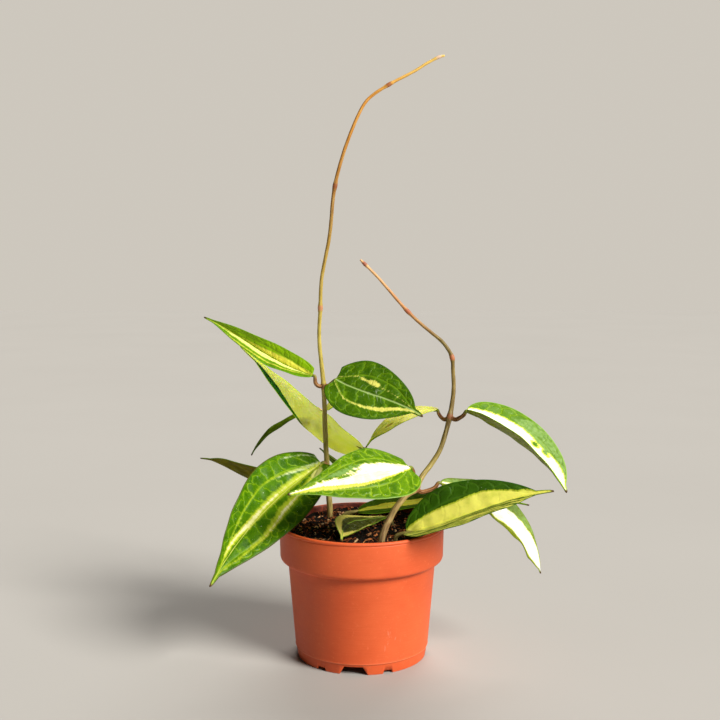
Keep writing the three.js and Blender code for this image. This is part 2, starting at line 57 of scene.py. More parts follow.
# %% The camera
CAMERA_PLACE = (-1.2, -781, 298.6)
CAMERA_DOWN = 6.13
LENS = 55
SENSOR_WIDTH = 36

camera_data = bpy.data.cameras.new("plant_camera")
camera_data.lens = LENS
camera_data.sensor_width = SENSOR_WIDTH
camera = bpy.data.objects.new("plant_camera", camera_data)
camera.location = Vector(CAMERA_PLACE) * MM
camera.rotation_euler = (math.radians(90 - CAMERA_DOWN), 0, 0)
bpy.context.scene.collection.objects.link(camera)
bpy.context.scene.camera = camera
print("camera at", tuple(round(c, 3) for c in camera.location))

# %% [markdown]
# # Light
# One broad lamp, high on the right and to the front, does nearly all the work: it leaves the left
# side of the pot dark, as a window would. A sun lamp with a wide disc is soft, and unlike an area
# lamp it lights the whole floor evenly. The sky is dim, so the shadows stay rich, but the camera
# sees it pale, which keeps the background light without lighting the plant from all sides. A weaker
# lamp behind shines through the thin pale leaves. It is left out of reflections, because from
# behind it would put a grey gloss on every surface seen at a low angle. The Standard view keeps
# leaf greens as strong as they are mixed.

# %% The two lamps
LAMP_DISTANCE = 2


def broad_sun(name, turn, height, disc, strength, colour):
    """A soft lamp far away, seen from the plant at a turn to the right of the camera and a height."""
    data = bpy.data.lights.new(name, "SUN")
    data.angle = math.radians(disc)
    data.energy = strength
    data.color = colour
    lamp = bpy.data.objects.new(name, data)
    turn, height = math.radians(turn), math.radians(height)
    level = math.cos(height)
    way = Vector((math.sin(turn) * level, -math.cos(turn) * level, math.sin(height)))
    lamp.location = way * LAMP_DISTANCE
    lamp.rotation_euler = (-way).to_track_quat("-Z", "Y").to_euler()
    bpy.context.scene.collection.objects.link(lamp)
    return lamp


window_light = broad_sun("window_light", turn=50, height=36, disc=26, strength=5.0, colour=(1.0, 0.97, 0.92))
back_light = broad_sun("back_light", turn=170, height=40, disc=40, strength=2.4, colour=(1.0, 0.98, 0.95))
back_light.visible_glossy = False
print("lamps:", window_light.name, back_light.name)

# %% The sky
SKY_COLOUR = (1.0, 0.937, 0.835, 1)
SKY_LIGHT = 0.04
SKY_SEEN = 0.612


def pale_sky():
    sky = bpy.data.worlds.new("pale_sky")
    sky.use_nodes = True
    nodes, links = sky.node_tree.nodes, sky.node_tree.links
    background = nodes["Background"]
    background.inputs["Color"].default_value = SKY_COLOUR
    seen = nodes.new("ShaderNodeLightPath")
    strength = nodes.new("ShaderNodeMapRange")
    strength.inputs["To Min"].default_value = SKY_LIGHT
    strength.inputs["To Max"].default_value = SKY_SEEN
    links.new(seen.outputs["Is Camera Ray"], strength.inputs["Value"])
    links.new(strength.outputs["Result"], background.inputs["Strength"])
    bpy.context.scene.world = sky


pale_sky()
bpy.context.scene.view_settings.view_transform = "Standard"
print("the sky lights the plant at", SKY_LIGHT, "and is seen at", SKY_SEEN)

# %% [markdown]
# # A short way to write finishes
# A finish is a tree of nodes. It could be put together by hand in the shader editor, but a long tree
# is hard to read and to repeat for fifteen leaves. The small classes below let each step of a finish
# be one call that gives back a socket: read a number stored on the mesh, make a noise, turn a number
# into a soft step, mix two colours. Colours are written as screen values from 0 to 255 and turned
# into the linear values that a shader needs.

# %% Screen colours
def tone(red, green, blue):
    def linear(value):
        share = value / 255
        return share / 12.92 if share <= 0.04045 else ((share + 0.055) / 1.055) ** 2.4

    return (linear(red), linear(green), linear(blue), 1.0)


print("middle grey on the screen is", round(tone(128, 128, 128)[0], 3), "in light")

# %% Sums in a finish
class Sums:
    """The plumbing of a finish and its sums. Every call gives a socket that the next call can use."""

    def __init__(self, name, roughness=0.5):
        self.material = bpy.data.materials.new(name)
        self.material.use_nodes = True
        self.nodes = self.material.node_tree.nodes
        self.links = self.material.node_tree.links
        self.shader = self.nodes["Principled BSDF"]
        self.shader.inputs["Roughness"].default_value = roughness

    def put(self, socket, value):
        if isinstance(value, bpy.types.NodeSocket):
            self.links.new(value, socket)
        elif value is not None:
            socket.default_value = value

    def node(self, kind, **settings):
        made = self.nodes.new(kind)
        for key, value in settings.items():
            setattr(made, key, value)
        return made

    def read(self, trait):
        return self.node("ShaderNodeAttribute", attribute_name=trait).outputs["Fac"]

    def maths(self, operation, first, second=0.0):
        made = self.node("ShaderNodeMath", operation=operation)
        self.put(made.inputs[0], first)
        self.put(made.inputs[1], second)
        return made.outputs[0]

    def add(self, first, second):
        return self.maths("ADD", first, second)

    def take(self, first, second):
        return self.maths("SUBTRACT", first, second)

    def times(self, first, second):
        return self.maths("MULTIPLY", first, second)

    def size_of(self, value):
        return self.maths("ABSOLUTE", value)

    def step(self, value, start, end, low=0.0, high=1.0):
        made = self.node("ShaderNodeMapRange", interpolation_type="SMOOTHSTEP")
        self.put(made.inputs["Value"], value)
        made.inputs["From Min"].default_value = start
        made.inputs["From Max"].default_value = end
        made.inputs["To Min"].default_value = low
        made.inputs["To Max"].default_value = high
        return made.outputs["Result"]

    def blend(self, share, first, second):
        made = self.node("ShaderNodeMix", data_type="FLOAT")
        self.put(made.inputs[0], share)
        self.put(made.inputs[2], first)
        self.put(made.inputs[3], second)
        return made.outputs[0]


print("sums ready:", Sums.__name__)

# %% Places and noises
class Patterns(Sums):
    """Places on the piece and the noises that are laid out on them."""

    def place(self, x, y, z=0.0):
        made = self.node("ShaderNodeCombineXYZ")
        self.put(made.inputs[0], x)
        self.put(made.inputs[1], y)
        self.put(made.inputs[2], z)
        return made.outputs[0]

    def in_object(self):
        return self.node("ShaderNodeTexCoord").outputs["Object"]

    def stretch(self, where, x, y, z):
        made = self.node("ShaderNodeVectorMath", operation="MULTIPLY")
        self.put(made.inputs[0], where)
        made.inputs[1].default_value = (x, y, z)
        return made.outputs[0]

    def parts(self, vector):
        made = self.node("ShaderNodeSeparateXYZ")
        self.put(made.inputs[0], vector)
        return made.outputs["X"], made.outputs["Y"], made.outputs["Z"]

    def noise(self, where, scale, detail=3.0, roughness=0.55):
        made = self.node("ShaderNodeTexNoise")
        self.put(made.inputs["Vector"], where)
        made.inputs["Scale"].default_value = scale
        made.inputs["Detail"].default_value = detail
        made.inputs["Roughness"].default_value = roughness
        return made.outputs["Fac"]

    def cell_edge(self, where, scale):
        made = self.node("ShaderNodeTexVoronoi", feature="DISTANCE_TO_EDGE")
        self.put(made.inputs["Vector"], where)
        made.inputs["Scale"].default_value = scale
        return made.outputs["Distance"]


print("patterns ready:", Patterns.__name__)

# %% Colours and the surface
class Finish(Patterns):
    """One material under construction, with its colours and its surface."""

    def mix(self, share, first, second):
        made = self.node("ShaderNodeMix", data_type="RGBA")
        self.put(made.inputs[0], share)
        self.put(made.inputs[6], first)
        self.put(made.inputs[7], second)
        return made.outputs[2]

    def ramp(self, value, stops):
        made = self.node("ShaderNodeValToRGB")
        self.put(made.inputs["Fac"], value)
        band = made.color_ramp
        band.elements[0].position, band.elements[0].color = stops[0]
        band.elements[1].position, band.elements[1].color = stops[-1]
        for position, colour in stops[1:-1]:
            band.elements.new(position).color = colour
        return made.outputs["Color"]

    def relief(self, height, depth):
        made = self.node("ShaderNodeBump")
        made.inputs["Strength"].default_value = 1.0
        made.inputs["Distance"].default_value = depth * MM
        self.put(made.inputs["Height"], height)
        self.put(self.shader.inputs["Normal"], made.outputs["Normal"])

    def colour(self, value):
        self.put(self.shader.inputs["Base Color"], value)

    def roughness(self, value):
        self.put(self.shader.inputs["Roughness"], value)

    def shine(self, level):
        self.shader.inputs["Specular IOR Level"].default_value = level

    def glow(self, weight, reach, scale):
        """Light that enters the surface and comes out again near by, in millimetres."""
        self.shader.inputs["Subsurface Weight"].default_value = weight
        self.shader.inputs["Subsurface Radius"].default_value = reach
        self.shader.inputs["Subsurface Scale"].default_value = scale * MM


print("finish ready:", Finish.__name__)

# %% [markdown]
# # The floor
# The floor only carries the shadow. It is one big pale sheet, with a very faint mottling in its finish.

# %% The floor
FLOOR_SIZE = 8


def pale_floor():
    bpy.ops.mesh.primitive_plane_add(size=FLOOR_SIZE, location=(0, 0, 0))
    floor = bpy.context.object
    floor.name = "pale_floor"
    finish = Finish("floor_paint", 0.95)
    cloud = finish.noise(finish.in_object(), 3.0)
    finish.colour(finish.mix(cloud, tone(172, 169, 164), tone(177, 174, 169)))
    finish.shine(0.1)
    floor.data.materials.append(finish.material)


pale_floor()
print("floor laid, metres across:", FLOOR_SIZE)

# %% [markdown]
# # From points to a piece
# Leaves, stems and soil are all worked out as rows of points, because a formula can follow the real
# growth more closely than pushing vertices by hand. One helper turns such points into a smooth
# mesh, stores extra numbers on its vertices for the finishes to read, and hangs it on the frame.

# %% Faces
def outward(points, faces):
    """The faces, turned so that a closed mesh has its outside outwards."""
    volume = 0.0
    first = points[faces[:, 0]]
    for k in range(1, faces.shape[1] - 1):
        volume += np.einsum("ij,ij->", first, np.cross(points[faces[:, k]], points[faces[:, k + 1]]))
    return faces if volume > 0 else faces[:, ::-1]


def corners_of(faces):
    """Faces as plain tuples of corner numbers."""
    return [tuple(int(corner) for corner in face) for face in faces]


print("faces as tuples:", corners_of(np.array([[0, 1, 2]])))

# %% The mesh helper
def make_piece(name, points, faces, traits, finish, node):
    mesh = bpy.data.meshes.new(name)
    mesh.from_pydata((points * MM).tolist(), [], corners_of(faces))
    for trait, values in traits.items():
        stored = mesh.attributes.new(trait, "FLOAT", "POINT")
        stored.data.foreach_set("value", values.astype(np.float32))
    mesh.materials.append(finish)
    mesh.polygons.foreach_set("use_smooth", np.ones(len(mesh.polygons), bool))
    mesh.validate()
    mesh.update()
    piece = bpy.data.objects.new(name, mesh)
    bpy.context.scene.collection.objects.link(piece)
    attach(piece, "root")
    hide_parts(node)
    return piece


print("a piece is made in millimetres, and one of them is", MM, "m")

# %% [markdown]
# # Soft steps and ripples
# Real surfaces are never quite even. A ripple is a sum of a few waves that run in random directions:
# it costs little, can be made as long or as short as is needed, and the same seed always gives the
# same one. A noise from the material would be as easy, but it would only be painted on, and the
# meshes have to carry their forms themselves.

# %% Soft steps and ripples
WAVES = 7


def smooth(value):
    x = np.clip(value, 0, 1)
    return x * x * (3 - 2 * x)


def ripple(x, y, length, seed):
    """A smooth random relief between about -1 and 1, with waves about length long."""
    random = np.random.default_rng(seed)
    total = np.zeros(np.broadcast(x, y).shape)
    for _ in range(WAVES):
        turn = random.uniform(0, 2 * np.pi)
        pace = 2 * np.pi / (length * random.uniform(0.7, 1.5))
        total += np.sin(pace * (np.cos(turn) * x + np.sin(turn) * y) + random.uniform(0, 2 * np.pi))
    return total / (WAVES / 2)


print("waves in a ripple:", WAVES)

# %% [markdown]
# # The course of each leaf
# A leaf blade is described by its midrib and by how the blade stands on it, in the same terms as
# the solids: a base, two handles that bend the midrib, a tip, a roll and a twist, the widest half
# width, how blunt the shoulder is, how fast the blade runs out, and how the two halves fold up.
# The blades could also be bent by hand from flat cards, but keeping the solids' terms means that
# each fine blade lies exactly where its plain solid lies. Places are in millimetres, and angles in
# degrees.

# %% The leaf shapes, first half
def leaf_terms(course, tilt, twist, half, shoulder, taper, drip, folds, lobe=0, curls=(0, 0), bulges=()):
    """A leaf's terms. Folds and curls are given for the left and for the right half."""
    return dict(
        course=course, tilt=tilt, twist=twist, half=half, shoulder=shoulder, taper=taper, drip=drip,
        folds=folds, lobe=lobe, curls=curls, bulges=bulges,
    )


LEAVES = {
    "leaf_upper_left": leaf_terms(
        [(-36, 21, 201), (-69, 31, 209), (-92, 41, 232), (-119, 49, 242)],
        tilt=44, twist=39, half=10.5, shoulder=0.5, taper=1.15, drip=0.08, folds=(36, 36), lobe=2,
    ),
    "leaf_upper_right": leaf_terms(
        [(-19, 15, 199), (1, 2, 189), (25, 1, 187), (43, -14, 176)],
        tilt=-48, twist=-5, half=24, shoulder=0.5, taper=0.9, drip=0.11, folds=(3, 14), lobe=4,
    ),
    "leaf_pale_back": leaf_terms(
        [(1, 47, 142), (-23, 50, 153), (-52, 57, 183), (-93, 59, 219)],
        tilt=-44, twist=-6, half=18.5, shoulder=0.6, taper=1.05, drip=0.1, folds=(-16, -6), curls=(0, -17),
    ),
    "leaf_front_white": leaf_terms(
        [(33, -30, 143), (9, -50, 148), (-17, -64, 140), (-49, -70, 133)],
        tilt=32, twist=18, half=25, shoulder=0.5, taper=1.3, drip=0.08, folds=(0, -12), lobe=5.5,
    ),
    "leaf_back_right": leaf_terms(
        [(55, 8, 178), (32, 16, 177), (17, 14, 171), (3, 17, 148)],
        tilt=-3, twist=31, half=14, shoulder=0.65, taper=1.05, drip=0.09, folds=(-8, 3),
    ),
    "leaf_arching_right": leaf_terms(
        [(74, -16, 181), (106, -10, 163), (132, -16, 147), (141, -38, 127)],
        tilt=-21, twist=-16, half=20.5, shoulder=0.65, taper=0.95, drip=0.06, folds=(33, 35),
    ),
    "leaf_low_right": leaf_terms(
        [(31, -34, 97.5), (59, -46, 105), (91, -46, 125), (130, -51, 131)],
        tilt=-36, twist=-9, half=24, shoulder=0.7, taper=1, drip=0.1, folds=(36, 36), lobe=2,
    ),
    "leaf_drooping_right": leaf_terms(
        [(56, -17, 129), (99, -14, 123), (119, -13, 98), (129, -9, 61)],
        tilt=-25, twist=-21, half=16.5, shoulder=0.6, taper=0.8, drip=0.04, folds=(-9, 4), lobe=1,
        bulges=[(0.71, 1, -2.6, 0.07), (0.83, 1, 1.0, 0.03)],
    ),
}
print("leaf shapes so far:", len(LEAVES))

# %% The leaf shapes, second half
LEAVES |= {
    "leaf_low_back": leaf_terms(
        [(-3, 30, 97), (40, 25, 107), (83, 17, 114), (122, 4, 108)],
        tilt=-21, twist=15, half=14, shoulder=0.55, taper=1.1, drip=0.08, folds=(3, 12),
    ),
    "leaf_small_low": leaf_terms(
        [(18, 8, 98), (-10, 7, 95), (-14, -12, 101), (-14, -42, 94)],
        tilt=4, twist=46, half=10, shoulder=0.65, taper=0.85, drip=0.09, folds=(4, -6),
    ),
    "leaf_large_left": leaf_terms(
        [(-30, 27, 134), (-61, -8, 118), (-85, -40, 99), (-101, -71, 71)],
        tilt=28, twist=52, half=26.5, shoulder=0.6, taper=1.05, drip=0.07, folds=(28, 20), lobe=4,
    ),
    "leaf_far_left": leaf_terms(
        [(-47, 38, 120), (-79, 47, 114), (-100, 62, 130), (-127, 73, 129)],
        tilt=-42, twist=-4, half=14, shoulder=0.65, taper=1.05, drip=0.11, folds=(-5, 1),
    ),
    "leaf_thin_left": leaf_terms(
        [(-36, 69, 169), (-57, 77, 163), (-80, 80, 147), (-88, 85, 129)],
        tilt=3, twist=26, half=9.5, shoulder=0.6, taper=0.95, drip=0.07, folds=(1, 3),
    ),
    "leaf_hidden_tip": leaf_terms(
        [(12, 45, 120), (-4, 41, 121), (-18, 41, 132), (-32, 47, 142)],
        tilt=13, twist=5, half=8.5, shoulder=0.6, taper=0.9, drip=0.07, folds=(-12, -17),
    ),
    "leaf_young": leaf_terms(
        [(-27, 67, 169), (-24, 66, 173), (-19, 66, 176), (-14, 68, 179)],
        tilt=-38, twist=-3, half=4.5, shoulder=0.6, taper=1, drip=0.08, folds=(2, 4),
    ),
}
print("leaves to grow:", len(LEAVES))

# %% [markdown]
# # The blade surface
# The width of the blade is a blunt shoulder times a taper, plus a thin drip tip. Directions are
# carried along the midrib from one place to the next without spinning, then rolled by the leaf's
# own tilt. Each half blade then stands off the midrib at its fold angle. A few leaves also have lobes
# that reach back past the stalk, or a nick in the margin. Sculpting would give the same forms, but a
# formula can be asked about any place on a leaf, which the markings and the stalks need.

# %% The width of a blade
DRIP_START = 0.5
DRIP_WIDTH = 0.07
TIP_WIDTH = 0.4
BASE_WIDTH = 0.8


def half_width(leaf, t):
    widest = leaf["shoulder"] / (leaf["shoulder"] + leaf["taper"])
    u = np.minimum(1, t / (1 - leaf["drip"]))
    body = (u / widest) ** leaf["shoulder"] * ((1 - u) / (1 - widest)) ** leaf["taper"]
    begun = smooth((t - DRIP_START) / (1 - DRIP_START - leaf["drip"]))
    drip = begun * np.minimum(1, (1 - t) / leaf["drip"]) ** 0.6
    return leaf["half"] * (body + DRIP_WIDTH * drip) + TIP_WIDTH + BASE_WIDTH * (1 - t) ** 8


print("widest half blade:", max(shape["half"] for shape in LEAVES.values()), "mm")

# %% The midrib
def unit(vectors):
    return vectors / np.linalg.norm(vectors, axis=-1, keepdims=True)


def carried(first, along):
    """Directions across a curve, carried from each place to the next without spinning."""
    across = [unit(first)]
    for direction in along[1:]:
        across.append(unit(across[-1] - across[-1].dot(direction) * direction))
    return np.array(across)


def midrib_frames(leaf, t):
    """Place, direction along, direction across and direction out of the upper face, at each t."""
    a, b, c, d = np.array(leaf["course"], float)
    u = t[:, None]
    place = (1 - u) ** 3 * a + 3 * (1 - u) ** 2 * u * b + 3 * (1 - u) * u * u * c + u**3 * d
    along = unit((1 - u) ** 2 * (b - a) + 2 * (1 - u) * u * (c - b) + u * u * (d - c))
    level = carried(np.cross(along[0], (0, 0, 1)), along)
    upright = np.cross(level, along)
    roll = np.radians(leaf["tilt"] + leaf["twist"] * u)
    across = level * np.cos(roll) + upright * np.sin(roll)
    return place, along, across, upright * np.cos(roll) - level * np.sin(roll)


def travelled(course):
    """How far along a row of points each of them lies."""
    return np.concatenate([[0], np.cumsum(np.linalg.norm(np.diff(course, axis=0), axis=1))])


longest = max(travelled(midrib_frames(shape, np.linspace(0, 1, 50))[0])[-1] for shape in LEAVES.values())
print("longest midrib:", round(longest), "mm")

# %% The section and the surface
# The section below divides by the curl, so even a flat half blade gets a trace of it
LEAST_CURL = 1e-5
LOBE_START = 0.02


def half_section(leaf, s):
    """How far across and up a point s of the way to a margin lies, and how it leans."""
    side = np.sign(s)
    out = np.abs(s)
    fold = np.radians(np.where(s < 0, *leaf["folds"]))
    curl = np.radians(np.where(s < 0, *leaf["curls"])) + LEAST_CURL
    angle = fold + curl * out
    over = side * (np.sin(angle) - np.sin(fold)) / curl
    return over, (np.cos(fold) - np.cos(angle)) / curl, side * angle


def margin_growth(leaf, t, s):
    """Millimetres by which a lobe or a nick moves the margin outward."""
    growth = np.zeros(np.broadcast(t[:, None], s).shape)
    for place, side, amount, spread in leaf["bulges"]:
        near = np.exp(-(((t - place) / spread) ** 2))[:, None]
        growth = growth + amount * near * np.maximum(0, side * s) ** 3
    return growth


def blade_points(leaf, t, s, lift):
    """Points of the blade for places t along it and s across it, lift above its middle sheet."""
    place, along, across, face = (v[:, None] for v in midrib_frames(leaf, t))
    width = half_width(leaf, t)[:, None]
    over, rise, lean = half_section(leaf, s)
    back = leaf["lobe"] * np.abs(s) ** 1.5 * ((1 - t) ** 6 * np.minimum(1, t / LOBE_START))[:, None]
    growth = margin_growth(leaf, t, s)
    sideways = over * width + np.sign(s) * growth * np.cos(lean) - lift * np.sin(lean)
    upwards = rise * width + growth * np.sin(np.abs(lean)) + lift * np.cos(lean)
    return place + across * sideways[..., None] + face * upwards[..., None] - along * back[..., None]


spine = blade_points(LEAVES["leaf_large_left"], np.array([0.5]), np.array([0.0]), 0.0)[0, 0]
print("middle of the largest leaf:", spine.round(1))

# %% [markdown]
# # Where the markings lie
# On the real leaves the cream and yellow are living tissue without much green in it, so they follow
# the veins. A marking is either a line along a vein, given by where its middle lies and how many
# millimetres it reaches to each side, or a zone between two edges. Places across a leaf run from -1
# at the left margin to 1 at the right one, and are given at six stations from base to tip. Pale
# zones have a white heart and a yellow fringe, and golden ones are yellow all through. The sheen
# zones are painted light: a frosty grey green that stands in for the lamp's reflection on the waxy
# skin. They could be painted on each leaf, but edges given by numbers stay sharp at any distance and
# can be moved by changing one of them.

# %% Two kinds of marking
STATIONS = (0, 0.2, 0.4, 0.6, 0.8, 1)
PAST_THE_RIGHT = (1.3, 1.3, 1.3, 1.3, 1.3, 1.3)
PAST_THE_LEFT = (-1.3, -1.3, -1.3, -1.3, -1.3, -1.3)


def line(middle, reach):
    """A marking along a vein. A reach below zero ends it."""
    return dict(middle=middle, reach=reach)


def zone(low, high):
    """A marking between two edges. Where low is above high there is none."""
    return dict(low=low, high=high)


print("stations along a leaf:", STATIONS)

# %% Cream markings
PALE = {
    "leaf_upper_left": [
        zone((-0.1, -0.36, -0.46, -0.5, -0.42, -0.4), (-0.03, -0.05, -0.07, -0.12, -0.34, -0.6)),
    ],
    "leaf_pale_back": [zone(PAST_THE_LEFT, (1.3, 1.3, 1.02, 0.81, 0.3, -0.5))],
    "leaf_front_white": [
        zone((-0.15, -0.26, -0.36, -0.36, -0.16, -0.1), (0.14, 0.25, 0.35, 0.14, 0.26, 0.2)),
    ],
    "leaf_back_right": [zone((-1.1, -1.2, -1.2, -1.2, -0.9, -0.6), (1.2, 1.2, 1.2, 1.0, 0.8, 0.6))],
    "leaf_arching_right": [zone((-0.4, -0.48, -0.49, -0.37, -0.6, -0.8), (0.5, 0.6, 0.6, 0.6, 0.5, 0.6))],
    "leaf_low_right": [zone((-0.4, -0.43, -0.43, -0.57, -0.5, -1), PAST_THE_RIGHT)],
    "leaf_drooping_right": [
        zone((-0.3, 0, -0.06, -0.24, -0.62, -0.6), (0, 0.6, 0.9, 0.7, 0.86, 0.8)),
    ],
    "leaf_large_left": [
        line((0, 0.08, 0.11, 0.12, 0.4, 0.3), (0.4, 0.3, 0.8, 1.9, 0.4, -6)),
        line((-0.2, -0.38, -0.42, -0.62, -0.62, 0), (0.2, 0.4, 1.4, 0, -1, -2)),
    ],
    "leaf_young": [line((0, 0, 0, 0, 0, 0), (2, 4, 4, 3, 2, 1))],
}
print("leaves with cream:", len(PALE))

# %% Golden markings and the painted sheen
GOLD = {
    "leaf_upper_left": [
        zone((0, 0.05, 0.05, 0.0, -0.2, -0.4), (0.3, 0.45, 0.36, 0.16, 0.0, -0.2)),
        line((-0.3, -0.62, -0.74, -0.84, -0.9, -1), (0.2, 0.5, 0.5, 0.4, -0.4, -1)),
    ],
    "leaf_upper_right": [
        line((-0.25, -0.41, -0.31, -0.3, -0.24, 0), (0.0, 0.2, 0.5, 0.0, -0.4, -1)),
        line((-0.3, -0.35, -0.36, -0.3, -0.2, 0), (-6, -0.6, 1.9, -1.6, -1.6, -2)),
        line((0.2, 0.53, 0.54, 0.53, 0.32, 0.2), (0.0, 0.3, 0.9, 1.9, 1.3, 0)),
    ],
    "leaf_front_white": [line((0, -0.16, -0.22, -0.34, -0.3, -0.1), (1.2, 3.4, 4.8, 2.4, 1.6, 0.4))],
    "leaf_low_back": [zone((-0.2, -0.24, -0.2, -0.2, -0.1, 0), (0.3, 0.44, 0.5, 0.4, 0.2, 0.1))],
    "leaf_small_low": [
        zone((0.3, 0.5, 0.6, 0.45, 0.15, -0.9), PAST_THE_RIGHT),
        line((-0.5, -1, -1, -1, -0.8, 0), (-1, 0.5, 0.9, 0.6, 1.5, 2)),
    ],
    "leaf_large_left": [
        line((0, 0.04, 0.08, 0.1, 0.36, 0), (1.5, 3.8, 3.6, 3.0, 1.3, -1)),
        line((-0.2, -0.36, -0.38, -0.59, -0.62, 0), (1.2, 2.0, 3.6, 1.4, 0.5, 0.2)),
        line((0.1, 0.4, 0.59, 0.56, 0.42, 0), (0.6, 0.2, 0.1, 0.1, 0.2, 0)),
    ],
}
# Painted sheen: frosty grey green zones that stand in for the lamp's reflection on the waxy skin
PAINTED_SHEEN = {
    "leaf_front_white": [zone((1, 1, 0.2, 0.12, 0.5, 1), (0, 0, 0.42, 0.5, 0.5, 0))],
    "leaf_arching_right": [
        zone((0, -0.3, -0.9, -1.2, -1.3, -1.3), (-1, -0.8, -0.45, -0.3, -0.3, -0.2)),
    ],
    "leaf_drooping_right": [zone(PAST_THE_LEFT, (0, 0, 0, -0.2, -0.8, 0))],
    "leaf_large_left": [
        line((0.12, 0.36, 0.56, 0.6, 0.6, 0.6), (2.0, 1.2, -1, -3, -3, -3)),
        line((0.8, 0.84, 0.9, 0.9, 0.9, 0.9), (0.8, 0.4, -4, -4, -4, -4)),
    ],
}
print("leaves with gold:", len(GOLD), "and with silver:", len(PAINTED_SHEEN))

# %% Islands and bruises
# Green islands in the pale zones and brown bruises, as a place along and across and two half sizes in mm
ISLANDS = {
    "leaf_arching_right": [(0.54, -0.3, 4.0, 2.0), (0.64, -0.36, 3.6, 1.8)],
    "leaf_front_white": [(0.57, 0.06, 5.5, 1.5), (0.47, 0.2, 4.0, 1.0)],
}
BRUISES = {
    "leaf_back_right": [(0.62, -0.46, 4.6, 1.3), (0.43, -0.52, 3.4, 0.6)],
    "leaf_low_right": [(0.03, 0.2, 5.0, 3.0)],
    "leaf_large_left": [(0.09, -0.35, 7.0, 3.2)],
    "leaf_small_low": [(0.68, -0.05, 9.0, 2.6)],
}
print("leaves with a bruise:", len(BRUISES))

# %% How deep in a marking a place lies
FAR_OUTSIDE = -30.0


def marking_depth(leaf, markings, t, s):
    """Millimetres inside the nearest marking, or below zero outside all of them."""
    depth = np.full(np.broadcast(t, s).shape, FAR_OUTSIDE)
    width = half_width(leaf, t)
    for one in markings:
        if "middle" in one:
            middle = np.interp(t, STATIONS, one["middle"])
            inside = np.interp(t, STATIONS, one["reach"]) - np.abs(s - middle) * width
        else:
            low = np.interp(t, STATIONS, one["low"])
            high = np.interp(t, STATIONS, one["high"])
            inside = np.minimum(s - low, high - s) * width
        depth = np.maximum(depth, inside)
    return depth


def spot_depth(leaf, spots, t, s, length):
    """Millimetres inside the nearest long spot, or below zero outside."""
    depth = np.full(np.broadcast(t, s).shape, FAR_OUTSIDE)
    for place, side, half_length, half_breadth in spots:
        over = (t - place) * length / half_length
        aside = (s - side) * half_width(leaf, t) / half_breadth
        depth = np.maximum(depth, (1 - np.hypot(over, aside)) * half_breadth)
    return depth


print("a place counts as far outside at", FAR_OUTSIDE, "mm")

# %% The side veins
SIDE_VEIN_OUT = 0.58
SIDE_VEIN_OPENS = 0.13
SIDE_VEIN_CLOSES = 0.62


def side_vein(t):
    """How far out the long side vein of each half runs, as a share of the half width."""
    opened = SIDE_VEIN_OUT * (1 - np.exp(-t / SIDE_VEIN_OPENS))
    return opened * (1 - 0.75 * smooth((t - SIDE_VEIN_CLOSES) / 0.4))


print("side vein half way along:", round(float(side_vein(0.5)), 2), "of the half width")

# %% [markdown]
# # Growing a blade
# The blade is a closed skin: an upper sheet, a rounded margin and an under sheet. On top of the
# plain thickness the upper sheet sinks a little along the midrib and the side veins, and the midrib
# stands out below, so the light catches them as it does on a waxy leaf. Between the veins the
# blade swells softly, and the margin waves a little. One sheet with a thickness modifier would be
# quicker, but it would sink and rise alike on both sides, and a midrib doesn't. The numbers that the
# finish needs are stored on the same points.

# %% The relief of a blade
BLADE_THICK_MIDDLE = 1.2
BLADE_THICK_EDGE = 0.7
THIN_NEAR_EDGE = (0.45, 0.9)
# Each groove and keel is a depth and a half breadth
MIDRIB_GROOVE = (0.42, 0.9)
SIDE_GROOVE = (0.16, 0.7)
MIDRIB_KEEL = (0.55, 1.0)
SIDE_KEEL = (0.12, 0.8)
SWELLING = 0.3
SWELLING_LENGTH = 11
MARGIN_WAVE = 0.75
MARGIN_WAVE_LENGTH = 26


def hump(distance, height, breadth):
    return height * np.exp(-((distance / breadth) ** 2))


def blade_relief(seed, sheet, along, across, edge, vein, width, s):
    """How far each point stands off the middle sheet: thickness, veins, swellings and a wavy margin."""
    thick = BLADE_THICK_MIDDLE + (BLADE_THICK_EDGE - BLADE_THICK_MIDDLE) * np.abs(s)
    thick = thick * np.minimum(1, THIN_NEAR_EDGE[0] + THIN_NEAR_EDGE[1] * edge)
    body = np.minimum(1, width / 8) * smooth(along / 6)
    groove = hump(across, *MIDRIB_GROOVE) + hump(vein, *SIDE_GROOVE)
    keel = hump(across, *MIDRIB_KEEL) + hump(vein, *SIDE_KEEL)
    swell = SWELLING * ripple(along, across, SWELLING_LENGTH, seed) * np.minimum(1, edge / 3)
    wave = MARGIN_WAVE * np.abs(s) ** 3 * ripple(along, across * 0.2, MARGIN_WAVE_LENGTH, seed + 50)
    lift = sheet * thick / 2 + (swell + wave) * body
    return lift - np.where(sheet > 0, groove, 0) * body - np.where(sheet < 0, keel, 0) * body


print("a blade is about", BLADE_THICK_MIDDLE, "mm thick along its midrib")

# %% The faces of a blade
def blade_faces(rows, strips):
    """Four-sided faces of the skin, and caps that join the two sheets at the base and the tip."""
    index = np.arange(rows * (2 * strips + 4)).reshape(rows, -1)
    here, beside = index[:-1], np.roll(index[:-1], -1, axis=1)
    above, above_beside = index[1:], np.roll(index[1:], -1, axis=1)
    faces = [np.stack([here, beside, above_beside, above], axis=-1).reshape(-1, 4)]
    for row, flip in ((0, False), (rows - 1, True)):
        upper = index[row, : strips + 1]
        under = index[row, strips + 2 : 2 * strips + 3][::-1]
        cap = np.stack([upper[:-1], under[:-1], under[1:], upper[1:]], axis=-1)
        faces.append(cap[:, ::-1] if flip else cap)
    return np.concatenate(faces)


def seal(piece):
    """Closes the tiny gaps left at the two ends of a blade and sets its faces outward."""
    skin = bmesh.new()
    skin.from_mesh(piece.data)
    bmesh.ops.holes_fill(skin, edges=[e for e in skin.edges if e.is_boundary], sides=8)
    bmesh.ops.recalc_face_normals(skin, faces=skin.faces)
    for polygon in skin.faces:
        polygon.smooth = True
    skin.to_mesh(piece.data)
    skin.free()


